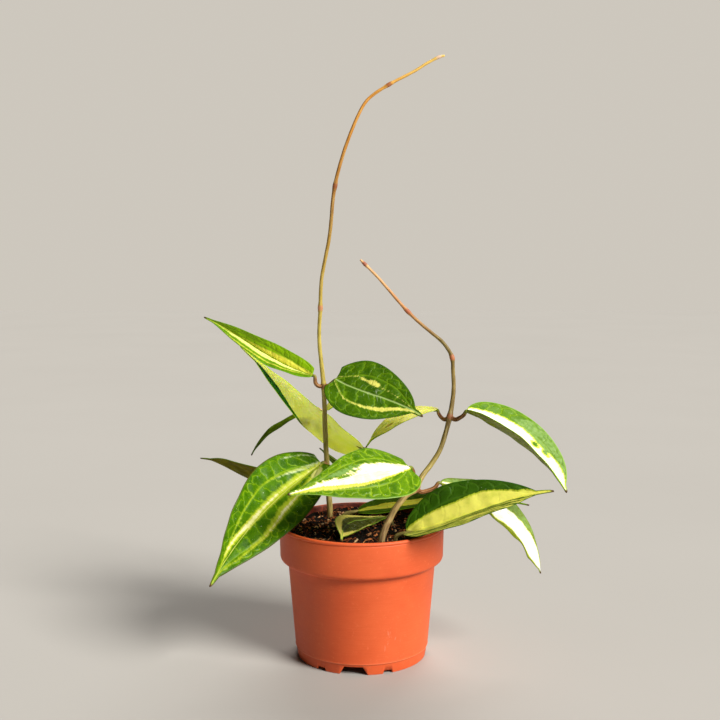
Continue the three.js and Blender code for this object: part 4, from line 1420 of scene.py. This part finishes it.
# %% The arching stem
RIGHT_LOW = (38, -22, 126, 2.0, True)
RIGHT_HIGH = (63, -2, 174, 1.8, True)
right_stem = foot(14, -34, 2.5) + [
    (23, -30, 113, 2.2), (31, -26, 122, 2.0), RIGHT_LOW, (42, -18, 133, 1.9), (51, -12, 144, 1.8),
    (56, -9, 152, 1.7), RIGHT_HIGH, (66, 2, 193, 1.5), (65.6, 3.6, 206, 1.4), (64.9, 4.6, 216, 1.35, True),
    (62.6, 5.2, 221, 1.3), (57.6, 6, 227.5, 1.3), (50.2, 6.6, 233.7, 1.2), (43, 7, 239.7, 1.2),
    (33, 7, 249, 1.2, True), (11, 7, 274, 1.0), (2, 7, 283, 1.0, True), (-1, 7, 286, 0.6),
]
right_stalks = [
    stalk_to(
        "leaf_back_right",
        [RIGHT_HIGH[:4], (59.9, 0, 171.7, 1.5), (57.5, 2.5, 172.7, 1.35), (55.7, 5.2, 175.1, 1.3)],
        from_below=True,
    ),
    stalk_to(
        "leaf_arching_right",
        [RIGHT_HIGH[:4], (66.7, -4, 172.4, 1.6), (69.6, -8, 174.2, 1.5), (72.1, -12, 176.9, 1.45)],
        from_below=True,
    ),
    stalk_to(
        "leaf_drooping_right",
        [RIGHT_LOW[:4], (41.8, -20, 123.3, 1.6), (46.8, -19, 124.1, 1.5), (51.8, -18, 126.1, 1.5)],
    ),
    stalk_to("leaf_front_white", [RIGHT_LOW[:4], (36.5, -23, 132, 1.5), (36, -25.5, 138.5, 1.5)]),
]
print("stations of the arching stem:", len(right_stem))

# %% The hidden stem and the stalks from the mix
BACK_LOW = (18, 48, 118, 2.0, True)
BACK_HIGH = (17, 54, 134, 2.0, True)
BACK_END = (-31, 69, 166, 1.6, True)
back_stem = foot(18, 44, 2.2) + [
    BACK_LOW, BACK_HIGH, (10, 60, 134, 1.8), (1, 65, 136, 1.7), (-6, 69, 139, 1.7), (-13, 71, 145, 1.7),
    (-23, 71, 155, 1.6), BACK_END,
]
back_stalks = [
    stalk_to("leaf_pale_back", [BACK_HIGH[:4], (12, 52, 138, 1.5), (7, 49, 140, 1.5)]),
    stalk_to("leaf_hidden_tip", [BACK_LOW[:4]], 1.3),
    stalk_to("leaf_thin_left", [BACK_END[:4]], 1.3),
    stalk_to("leaf_young", [BACK_END[:4]], 1.1),
]
far_left_way = [(-48, 18, 105, 1.6), (-43, 29, 116, 1.5), (-42, 35, 119, 1.5)]
ground_stalks = {
    "stalk_low_right": stalk_to("leaf_low_right", foot(24, -31, 1.7), 1.5),
    "stalk_low_back": stalk_to("leaf_low_back", foot(-13, 31, 1.7), 1.5),
    "stalk_small_low": stalk_to("leaf_small_low", foot(22, 10, 1.6)),
    "stalk_far_left": stalk_to("leaf_far_left", foot(-50, 10, 1.7) + far_left_way),
}
print("stalks that stand in the mix:", list(ground_stalks))

# %% Growing one stem
STALK_SIDES = 16
STALK_SPACING = 0.8


def grow_stem(name, main, stalks, finish):
    parts = [tube(main, seed=len(name))]
    parts += [tube(stalk, STALK_SIDES, STALK_SPACING, seed=k) for k, stalk in enumerate(stalks)]
    points, faces, traits = gather(parts)
    piece = make_piece(name + "_wood", points, faces, traits, finish, name)
    print(piece.name, len(piece.data.polygons), "faces")


print("sides of a stem and of a leaf stalk:", STEM_SIDES, STALK_SIDES)

# %% [markdown]
# # The colours of each stem
# The tall stem is olive with a golden end, the arching one is browner with a pink tip, and the stems
# behind and the stalks from the mix are dull, because they stand in shade. Each gets a band of
# colours for its length, a second band for its joints, and two colours for its leaf stalks: a dark
# brown, and a lighter one that is a painted highlight laid in streaks. The first number of each pair
# is how far along the stem the colour lies, from 0 to 1.

# %% The wood of each stem
left_wood = stem_finish(
    "left_stem_wood",
    [
        (0.0, tone(176, 154, 92)), (0.12, tone(172, 154, 80)), (0.3, tone(190, 172, 78)),
        (0.4, tone(200, 180, 80)), (0.55, tone(180, 144, 60)), (0.64, tone(160, 112, 48)),
        (0.85, tone(226, 152, 56)), (1.0, tone(255, 216, 110)),
    ],
    [
        (0.35, tone(112, 62, 38)), (0.43, tone(206, 138, 100)), (0.66, tone(150, 84, 50)),
        (0.9, tone(170, 96, 62)), (1.0, tone(248, 214, 190)),
    ],
    tone(78, 46, 22), tone(182, 130, 76),
)
right_wood = stem_finish(
    "right_stem_wood",
    [
        # The foot of the arching stem is grey brown old wood, darkened further as painted shade low among the
        # leaves
        (0.0, tone(104, 80, 54)), (0.1, tone(146, 116, 74)), (0.2, tone(184, 158, 92)),
        (0.3, tone(160, 142, 70)), (0.43, tone(118, 96, 50)), (0.55, tone(134, 110, 52)),
        (0.68, tone(118, 98, 36)), (0.82, tone(196, 130, 74)), (1.0, tone(236, 184, 126)),
    ],
    [
        (0.5, tone(150, 92, 58)), (0.6, tone(190, 112, 72)), (0.8, tone(180, 98, 64)),
        (1.0, tone(150, 66, 54)),
    ],
    tone(82, 46, 16), tone(166, 112, 62),
)
back_wood = stem_finish(
    "back_stem_wood",
    [(0.0, tone(110, 92, 54)), (0.5, tone(120, 108, 44)), (1.0, tone(140, 120, 50))],
    [(0.0, tone(120, 80, 46)), (1.0, tone(130, 84, 50))],
    tone(206, 130, 80), tone(232, 168, 112),
)
ground_wood = stem_finish(
    "ground_stalk_wood",
    [(0.0, tone(80, 64, 40)), (0.6, tone(116, 104, 50)), (1.0, tone(150, 140, 64))],
    [(0.0, tone(110, 80, 56)), (1.0, tone(110, 80, 56))],
    tone(110, 74, 50), tone(190, 150, 110),
)
print("kinds of wood:", left_wood.name, right_wood.name, back_wood.name, ground_wood.name)

# %% The three stems and the four stalks
grow_stem("stem_left", left_stem, left_stalks, left_wood)
grow_stem("stem_right", right_stem, right_stalks, right_wood)
grow_stem("stem_back", back_stem, back_stalks, back_wood)
for stalk_name, stalk_course in ground_stalks.items():
    grow_stem(stalk_name, stalk_course, [], ground_wood)

# %% [markdown]
# # The potting mix
# The mix is dark peat with bark chips, crumbs and fibres lying in it. A height field alone would
# look like cloth, so the surface carries hundreds of small separate forms: chips are hulls round a
# few random points, which gives the broken faces of real bark, crumbs are tiny lumps, and fibres
# are thin bent tubes. All are joined with the dark bed into one piece, and a number on each of
# them chooses its shade.

# %% The bed of the mix
SOIL_EDGE = 56.9
RIM_RADIUS = 60.0
SOIL_RISE_START = 30
SOIL_RISE = 2.5
BED_RINGS = 84
BED_SPOKES = 210
BED_FLOOR = 5.9
BED_SIDE = ((SOIL_EDGE, 71.9), (51.6, 71.5), (46.4, BED_FLOOR))
random = np.random.default_rng(7)


def soil_height(x, y):
    wave = np.sin(x * 0.31 + 1.3) * np.cos(y * 0.27) + 0.6 * np.sin(x * 0.11 - y * 0.43)
    back = smooth((y - SOIL_RISE_START) / (RIM_RADIUS - SOIL_RISE_START))
    return SOIL_LEVEL + SOIL_RISE * back + 0.7 * wave


def soil_bed():
    turn = np.linspace(0, 2 * np.pi, BED_SPOKES, endpoint=False)
    reach = SOIL_EDGE * np.linspace(0, 1, BED_RINGS + 1)[1:, None]
    x, y = reach * np.cos(turn), reach * np.sin(turn)
    rough = 0.55 * ripple(x, y, 5, 31) + 0.4 * ripple(x, y, 2.4, 32) + 0.25 * np.abs(ripple(x, y, 1.5, 33))
    rough = rough * np.minimum(1, (SOIL_EDGE - reach) / 2 + 0.2)
    top = np.stack([x, y, soil_height(x, y) + rough], axis=-1).reshape(-1, 3)
    side = []
    for radius, height in BED_SIDE:
        level = np.full(BED_SPOKES, height)
        side.append(np.stack([radius * np.cos(turn), radius * np.sin(turn), level], axis=-1))
    middle = [0, 0, float(soil_height(0, 0))]
    points = np.vstack([[middle], top] + side + [[[0, 0, BED_FLOOR]]])
    index = 1 + np.arange((BED_RINGS + len(BED_SIDE)) * BED_SPOKES).reshape(-1, BED_SPOKES)
    beside = np.roll(index, -1, axis=1)
    faces = np.stack([index[:-1], index[1:], beside[1:], beside[:-1]], axis=-1).reshape(-1, 4)
    caps = [(0, index[0, k], beside[0, k]) for k in range(BED_SPOKES)]
    caps += [(len(points) - 1, beside[-1, k], index[-1, k]) for k in range(BED_SPOKES)]
    shade = 0.16 * random.random(len(points)) ** 2
    return points, [tuple(face) for face in faces] + caps, dict(shade=shade)


bed = soil_bed()
print("bed of the mix:", len(bed[1]), "faces")

# %% [markdown]
# # Chips, crumbs and fibres
# Bark breaks into angular chips, and peat into crumbs. Both are made from a few forms, each the hull
# of random points, which are turned, stretched and laid down many times. Modelling each chip by hand
# would take days, and instances would be lost in the export, so the copies are real faces. The
# fibres are thin tubes that wander over the mix, with two tufts that stand up, as in a pot where the
# mix was pressed down by hand. Every scatter has its own seed, so it always falls the same way.

# %% Broken lumps
def hull_forms(count, corners, seed):
    """A few broken lumps, each the hull of random points, to be turned and scaled many times."""
    chooser = np.random.default_rng(seed)
    forms = []
    for _ in range(count):
        hull = bmesh.new()
        cloud = unit(chooser.normal(size=(corners, 3))) * chooser.uniform(0.75, 1.0, (corners, 1))
        for point in cloud:
            hull.verts.new(point)
        bmesh.ops.convex_hull(hull, input=hull.verts)
        loose = [v for v in hull.verts if not v.link_faces]
        bmesh.ops.delete(hull, geom=loose, context="VERTS")
        hull.verts.index_update()
        form_points = np.array([v.co[:] for v in hull.verts])
        form_faces = [tuple(v.index for v in f.verts) for f in hull.faces]
        forms.append((form_points, form_faces))
        hull.free()
    return forms


def turned(points, chooser, lean):
    spin = chooser.uniform(0, 2 * np.pi)
    tip_x, tip_y = chooser.normal(0, lean, 2)
    turn_z = np.array([[np.cos(spin), -np.sin(spin), 0], [np.sin(spin), np.cos(spin), 0], [0, 0, 1]])
    turn_x = np.array([[1, 0, 0], [0, np.cos(tip_x), -np.sin(tip_x)], [0, np.sin(tip_x), np.cos(tip_x)]])
    turn_y = np.array([[np.cos(tip_y), 0, np.sin(tip_y)], [0, 1, 0], [-np.sin(tip_y), 0, np.cos(tip_y)]])
    return points @ turn_x.T @ turn_y.T @ turn_z.T


print("corners of one lump:", len(hull_forms(1, 11, 3)[0][0]))

# %% Scattering the lumps
LUMP_LEAN = 0.45


def random_spot(chooser, reach):
    turn = chooser.uniform(0, 2 * np.pi)
    distance = reach * math.sqrt(chooser.random())
    return distance * math.cos(turn), distance * math.sin(turn)


def scatter_lumps(forms, count, sizes, sink, shades, seed, keep=None):
    chooser = np.random.default_rng(seed)
    parts = []
    while len(parts) < count:
        x, y = random_spot(chooser, SOIL_EDGE - 2)
        if keep is not None and chooser.random() > keep(x, y):
            continue
        size = np.array([chooser.uniform(*pair) for pair in sizes])
        form_points, form_faces = forms[chooser.integers(len(forms))]
        points = turned(form_points * size / 2, chooser, LUMP_LEAN)
        points = points + (x, y, float(soil_height(x, y)) + size[2] * sink)
        shade = shades[0] + (shades[1] - shades[0]) * chooser.random()
        parts.append((points, form_faces, dict(shade=np.full(len(points), shade))))
    return parts


print("lumps lean by about", round(math.degrees(LUMP_LEAN)), "degrees")

# %% Fibres and tufts
FIBRE_STATIONS = 5
FIBRE_LENGTHS = (4, 13)
FIBRE_SIZES = (0.12, 0.24)
TUFT_STATIONS = 6


def scatter_fibres(count, seed):
    chooser = np.random.default_rng(seed)
    parts = []
    for _ in range(count):
        x, y = random_spot(chooser, SOIL_EDGE - 6)
        heading = chooser.uniform(0, 2 * np.pi)
        length = chooser.uniform(*FIBRE_LENGTHS)
        stations = []
        for k in range(FIBRE_STATIONS):
            share = k / (FIBRE_STATIONS - 1)
            heading += chooser.normal(0, 0.35)
            x += math.cos(heading) * length / FIBRE_STATIONS
            y += math.sin(heading) * length / FIBRE_STATIONS
            if math.hypot(x, y) > SOIL_EDGE - 1:
                break
            z = float(soil_height(x, y)) + 0.5 + 1.8 * math.sin(math.pi * share) * chooser.random()
            stations.append((x, y, z, chooser.uniform(*FIBRE_SIZES)))
        if len(stations) > 2:
            points, faces, _ = tube(stations, 5, 1.6)
            parts.append((points, faces, dict(shade=np.full(len(points), chooser.uniform(0.45, 0.85)))))
    return parts


def tuft(x, y, count, reach, rise, seed):
    """A few stiff curled fibres that stand up round one spot."""
    chooser = np.random.default_rng(seed)
    parts = []
    for _ in range(count):
        here = np.array([x, y, 0.0]) + np.append(chooser.normal(0, reach, 2), 0)
        here[2] = float(soil_height(here[0], here[1])) - 0.5
        heading = chooser.uniform(0, 2 * np.pi)
        height = rise * chooser.uniform(0.4, 1.0)
        stations = []
        for k in range(TUFT_STATIONS):
            stations.append(tuple(here) + (0.22 - 0.02 * k,))
            heading += chooser.normal(0, 0.7)
            lean = np.array([math.cos(heading), math.sin(heading)]) * height * chooser.uniform(0.05, 0.3)
            here = here + np.append(lean, height / 5 * (1.3 - 0.25 * k))
        points, faces, _ = tube(stations, 5, 1.2)
        parts.append((points, faces, dict(shade=np.full(len(points), chooser.uniform(0.5, 0.78)))))
    return parts


print("fibres are", FIBRE_LENGTHS, "mm long")

# %% Laying them down
CHIP_SIZES = ((3, 7.5), (1.6, 4), (1, 2.2))
CRUMB_SIZES = ((0.7, 2.2), (0.7, 1.8), (0.6, 1.3))
CHIP_SHADES = (0.2, 1.0)
CRUMB_SHADES = (0.0, 0.5)
CHIPS = 480
CRUMBS = 2300
FIBRES = 170


def back_left_more(x, y):
    """Chips lie thickest behind and to the left, where the mix is heaped and lit."""
    return 0.35 + 0.65 * float(smooth((y + 20 - 0.3 * x) / 50))


chip_forms = hull_forms(14, 11, 3)
crumb_forms = hull_forms(8, 9, 4)
chips = scatter_lumps(chip_forms, CHIPS, CHIP_SIZES, 0.1, CHIP_SHADES, seed=11, keep=back_left_more)
crumbs = scatter_lumps(crumb_forms, CRUMBS, CRUMB_SIZES, 0.15, CRUMB_SHADES, seed=12)
fibres = scatter_fibres(FIBRES, seed=13)
fibres += tuft(-24, 38, count=26, reach=4.5, rise=8, seed=14)
fibres += tuft(19, -40, count=22, reach=3.5, rise=3, seed=15)
print("chips, crumbs, fibres:", len(chips), len(crumbs), len(fibres))

# %% [markdown]
# # The finish of the mix
# Wet peat is nearly black and fresh bark is orange brown. One ramp holds all of it: each lump reads
# its own shade from the mesh, a fibrous noise shifts it a little, and dark grains are laid over. A
# texture picture of soil would repeat and would not follow the lumps.

# %% The mix
MIX_SHADES = [
    (0.0, tone(8, 5, 2)), (0.2, tone(20, 10, 5)), (0.4, tone(44, 19, 8)), (0.6, tone(140, 66, 27)),
    (0.8, tone(224, 138, 74)), (1.0, tone(252, 214, 160)),
]
DARK_GRAIN = tone(10, 6, 3)
MIX_RELIEF = 0.5


def mix_finish():
    finish = Finish("potting_mix", 0.85)
    where = finish.in_object()
    grain = finish.noise(where, 900, 4, 0.7)
    strand = finish.noise(finish.stretch(where, 1, 1, 4), 420, 3)
    shade = finish.add(finish.read("shade"), finish.times(finish.take(strand, 0.5), 0.3))
    colour = finish.ramp(shade, MIX_SHADES)
    colour = finish.mix(finish.step(grain, 0.62, 0.4, 0, 0.6), colour, DARK_GRAIN)
    finish.colour(colour)
    finish.roughness(finish.step(grain, 0.3, 0.7, 0.7, 0.95))
    finish.relief(finish.add(grain, strand), MIX_RELIEF)
    finish.shine(0.25)
    return finish.material


mix_points, mix_faces, mix_traits = gather([bed] + chips + crumbs + fibres)
mix_traits.pop("part")
potting_mix = make_piece("potting_mix", mix_points, mix_faces, mix_traits, mix_finish(), "soil")
bed_is_smooth = np.arange(len(potting_mix.data.polygons)) < len(bed[1])
potting_mix.data.polygons.foreach_set("use_smooth", bed_is_smooth)
print("potting mix:", len(potting_mix.data.polygons), "faces")

# %% [markdown]
# # The pot
# A nursery pot is moulded in one piece: a thin tapering wall, a straight collar that stiffens it, a
# small rolled lip, and a foot ring with openings that let the water out. It could be pushed out of
# a cylinder by hand, but every round of it is the same, so it is one profile turned on a lathe. The
# finer profile rounds every corner, and has a hairline groove under the lip and a small ridge at the
# foot. The openings are wedges, cut with a boolean so that their edges are sharp.

# %% The profile
def rounded(corners, radius=0.5, steps=4):
    """The corners of a profile, each replaced by a short arc."""
    result = [corners[0]]
    for before, corner, after in zip(corners[:-2], corners[1:-1], corners[2:]):
        before, corner, after = (np.array(p, float) for p in (before, corner, after))
        reach = min(radius, np.linalg.norm(before - corner) / 2.2, np.linalg.norm(after - corner) / 2.2)
        start = corner + unit(before - corner) * reach
        end = corner + unit(after - corner) * reach
        for k in range(steps + 1):
            u = k / steps
            result.append(tuple((1 - u) ** 2 * start + 2 * u * (1 - u) * corner + u * u * end))
    return result + [corners[-1]]


POT_PROFILE = [
    (0, 0), (12, 0), (13, 4), (42, 4), (43, 0), (46.7, 0), (47.6, 7.2), (48.5, 8), (48.3, 8.9), (53.4, 70),
    (56.6, 70.5), (58.5, 71.9), (59, 73.3), (59.5, 94.1), (59.25, 94.5), (59.5, 94.9), (60, 95.2), (60, 96.3),
    (59.3, 97), (57.9, 97), (57.2, 96.2), (57.2, 71.6), (51.9, 71.2), (46.7, 5.6), (0, 5.6),
]
POT_SIDES = 192
print("points in the pot profile:", len(POT_PROFILE))

# %% Turning the profile
def lathe(profile, sides):
    ring = np.array(profile[1:-1])
    turn = np.linspace(0, 2 * np.pi, sides, endpoint=False)
    x, y = ring[:, :1] * np.cos(turn), ring[:, :1] * np.sin(turn)
    points = np.stack([x, y, np.broadcast_to(ring[:, 1:], x.shape)], axis=-1).reshape(-1, 3)
    index = np.arange(len(ring) * sides).reshape(-1, sides)
    beside = np.roll(index, -1, axis=1)
    faces = corners_of(np.stack([index[:-1], beside[:-1], beside[1:], index[1:]], axis=-1).reshape(-1, 4))
    ends = np.array([(0, 0, profile[0][1]), (0, 0, profile[-1][1])], float)
    first, last = len(points), len(points) + 1
    faces += [(first, beside[0, k], index[0, k]) for k in range(sides)]
    faces += [(last, index[-1, k], beside[-1, k]) for k in range(sides)]
    return np.vstack([points, ends]), faces


print("sides of the pot:", POT_SIDES)

# %% The openings in the foot
FOOT_PLACES = 12
FIRST_OPENING_ANGLE = -97
CUT_FROM = 40
CUT_TO = 52
# Each opening is its width at the top, its width at the bottom and its height
WIDE_OPENING = (13, 21, 6)
SHALLOW_OPENING = (6, 8, 2.5)
OPENING_PATTERN = (WIDE_OPENING, SHALLOW_OPENING, None, SHALLOW_OPENING)
openings = [OPENING_PATTERN[k % len(OPENING_PATTERN)] for k in range(FOOT_PLACES)]


def foot_cutter(top, bottom, height, angle):
    """A wedge through the foot ring, widest at the bottom."""
    outline = [(-bottom / 2, -1), (bottom / 2, -1), (top / 2, height), (-top / 2, height)]
    points = np.array([(reach, side, z) for reach in (CUT_FROM, CUT_TO) for side, z in outline], float)
    turn = math.radians(angle)
    spin = np.array([[math.cos(turn), -math.sin(turn), 0], [math.sin(turn), math.cos(turn), 0], [0, 0, 1]])
    faces = [(3, 2, 1, 0), (4, 5, 6, 7), (0, 1, 5, 4), (1, 2, 6, 5), (2, 3, 7, 6), (3, 0, 4, 7)]
    return points @ spin.T, faces


def all_foot_cutters():
    parts = []
    for k, opening in enumerate(openings):
        if opening is not None:
            parts.append(foot_cutter(*opening, FIRST_OPENING_ANGLE + 360 * k / FOOT_PLACES) + ({},))
    points, faces, _ = gather(parts)
    cutter_mesh = bpy.data.meshes.new("foot_cutters")
    cutter_mesh.from_pydata((points * MM).tolist(), [], faces)
    skin = bmesh.new()
    skin.from_mesh(cutter_mesh)
    bmesh.ops.recalc_face_normals(skin, faces=skin.faces)
    skin.to_mesh(cutter_mesh)
    skin.free()
    cutter = bpy.data.objects.new("foot_cutters", cutter_mesh)
    bpy.context.scene.collection.objects.link(cutter)
    return cutter


def cut_foot(piece):
    cutter = all_foot_cutters()
    cut = piece.modifiers.new("openings", "BOOLEAN")
    cut.operation = "DIFFERENCE"
    cut.object = cutter
    cut.solver = "EXACT"
    bpy.context.view_layer.update()
    evaluated = piece.evaluated_get(bpy.context.evaluated_depsgraph_get())
    carved = bpy.data.meshes.new_from_object(evaluated)
    piece.modifiers.clear()
    piece.data = carved
    cutter_mesh = cutter.data
    bpy.data.objects.remove(cutter)
    bpy.data.meshes.remove(cutter_mesh)


print("openings in the foot:", sum(opening is not None for opening in openings))

# %% [markdown]
# # The finish of the pot
# Terracotta coloured polypropylene is satin and a little see-through at thin edges. It shows faint
# flow clouds and level lines from moulding, a very fine grain, and a few pale rubs low down on the
# front. A lighter line along the ridge above the foot is a painted highlight. The foot ring gets a
# painted shadow underneath, and the inside above the mix is painted darker as shade. All of it is
# worked out from where a place lies on the pot, so nothing has to be unwrapped. Places here are in
# metres, as the mesh is.

# %% Moulded plastic
CLAY = tone(212, 84, 34)
LIGHT_CLAY = tone(224, 96, 44)
SPECK_CLAY = tone(240, 128, 78)
LINE_LIGHT = tone(236, 122, 74)
LINE_DARK = tone(190, 66, 22)


def moulded_plastic(finish, where, cloud):
    colour = finish.mix(finish.step(cloud, 0.3, 0.7), CLAY, LIGHT_CLAY)
    speck = finish.noise(where, 420, 3, 0.7)
    colour = finish.mix(finish.step(speck, 0.58, 0.74, 0, 0.36), colour, SPECK_CLAY)
    lines = finish.noise(finish.stretch(where, 1, 1, 30), 90, 4, 0.65)
    colour = finish.mix(finish.step(lines, 0.5, 0.66, 0, 0.13), colour, LINE_LIGHT)
    return finish.mix(finish.step(lines, 0.48, 0.34, 0, 0.12), colour, LINE_DARK)


print("colours in the plastic:", len({CLAY, LIGHT_CLAY, SPECK_CLAY, LINE_LIGHT, LINE_DARK}))

# %% Painted shade inside and under the foot, and a painted highlight on the ridge
INNER_WALL = 0.0578
INNER_SHADE_FROM = 0.08
FOOT_RING = 0.0449
FOOT_TOP = 0.0064
RIDGE_HEIGHT = 0.008
HAIR = 0.0006
SOFT_EDGE = 0.001
# Colours of the painted shade inside the pot, the painted shadow under the foot and the painted highlight on
# the ridge
INNER_SHADE_CLAY = tone(92, 30, 12)
FOOT_SHADOW = tone(58, 20, 10)
RIDGE_HIGHLIGHT_CLAY = tone(246, 150, 104)


def painted_shade_and_ridge_highlight(finish, where, colour):
    x, y, height = finish.parts(where)
    squares = finish.add(finish.maths("POWER", x, 2), finish.maths("POWER", y, 2))
    from_axis = finish.maths("SQRT", squares)
    # The inside above the mix is painted darker as shade, broken up by a noise
    inside = finish.step(from_axis, INNER_WALL + HAIR, INNER_WALL)
    above_mix = finish.step(height, INNER_SHADE_FROM, INNER_SHADE_FROM + 0.005)
    inner_shade = finish.step(finish.noise(where, 260, 3), 0.3, 0.6, 0.65, 1)
    colour = finish.mix(finish.times(finish.times(inside, above_mix), inner_shade), colour, INNER_SHADE_CLAY)
    in_ring = finish.step(from_axis, FOOT_RING + SOFT_EDGE, FOOT_RING)
    under_foot = finish.times(in_ring, finish.step(height, FOOT_TOP + SOFT_EDGE, FOOT_TOP))
    colour = finish.mix(finish.times(under_foot, 0.75), colour, FOOT_SHADOW)
    # A painted highlight: a lighter line along the ridge above the foot
    from_ridge = finish.size_of(finish.take(height, RIDGE_HEIGHT))
    return finish.mix(finish.step(from_ridge, 0.0001, 0.0005, 0.4, 0), colour, RIDGE_HIGHLIGHT_CLAY)


print("ridge above the foot at", RIDGE_HEIGHT, "m")

# %% Rubs and the whole finish
RUB_PLACE = (0.021, -0.045, 0.0115)
RUB_CLAY = tone(250, 200, 170)
PLASTIC_RELIEF = 0.05


def rubbed(finish, where, colour):
    apart = finish.node("ShaderNodeVectorMath", operation="DISTANCE")
    finish.put(apart.inputs[0], finish.stretch(where, 1, 1, 0.5))
    apart.inputs[1].default_value = RUB_PLACE
    near = finish.step(apart.outputs["Value"], 0.002, 0.009, 1, 0)
    rub = finish.noise(finish.stretch(where, 1.0, 1.0, 0.3), 420, 4, 0.7)
    scuff = finish.times(finish.step(rub, 0.62, 0.66), near)
    return finish.mix(finish.times(scuff, 0.22), colour, RUB_CLAY)


def pot_finish():
    finish = Finish("terracotta_plastic", 0.4)
    where = finish.in_object()
    cloud = finish.noise(where, 22, 4)
    colour = moulded_plastic(finish, where, cloud)
    colour = painted_shade_and_ridge_highlight(finish, where, colour)
    finish.colour(rubbed(finish, where, colour))
    finish.roughness(finish.step(cloud, 0.3, 0.7, 0.52, 0.62))
    finish.relief(finish.add(finish.noise(where, 1500, 2), cloud), PLASTIC_RELIEF)
    finish.shine(0.5)
    finish.glow(0.1, (1.0, 0.25, 0.08), 1.5)
    return finish.material


print("pale rubs at", RUB_PLACE)

# %% The pot
pot_points, pot_faces = lathe(rounded(POT_PROFILE), POT_SIDES)
pot = make_piece("nursery_pot", pot_points, pot_faces, {}, pot_finish(), "pot")
cut_foot(pot)
print("pot:", len(pot.data.polygons), "faces")
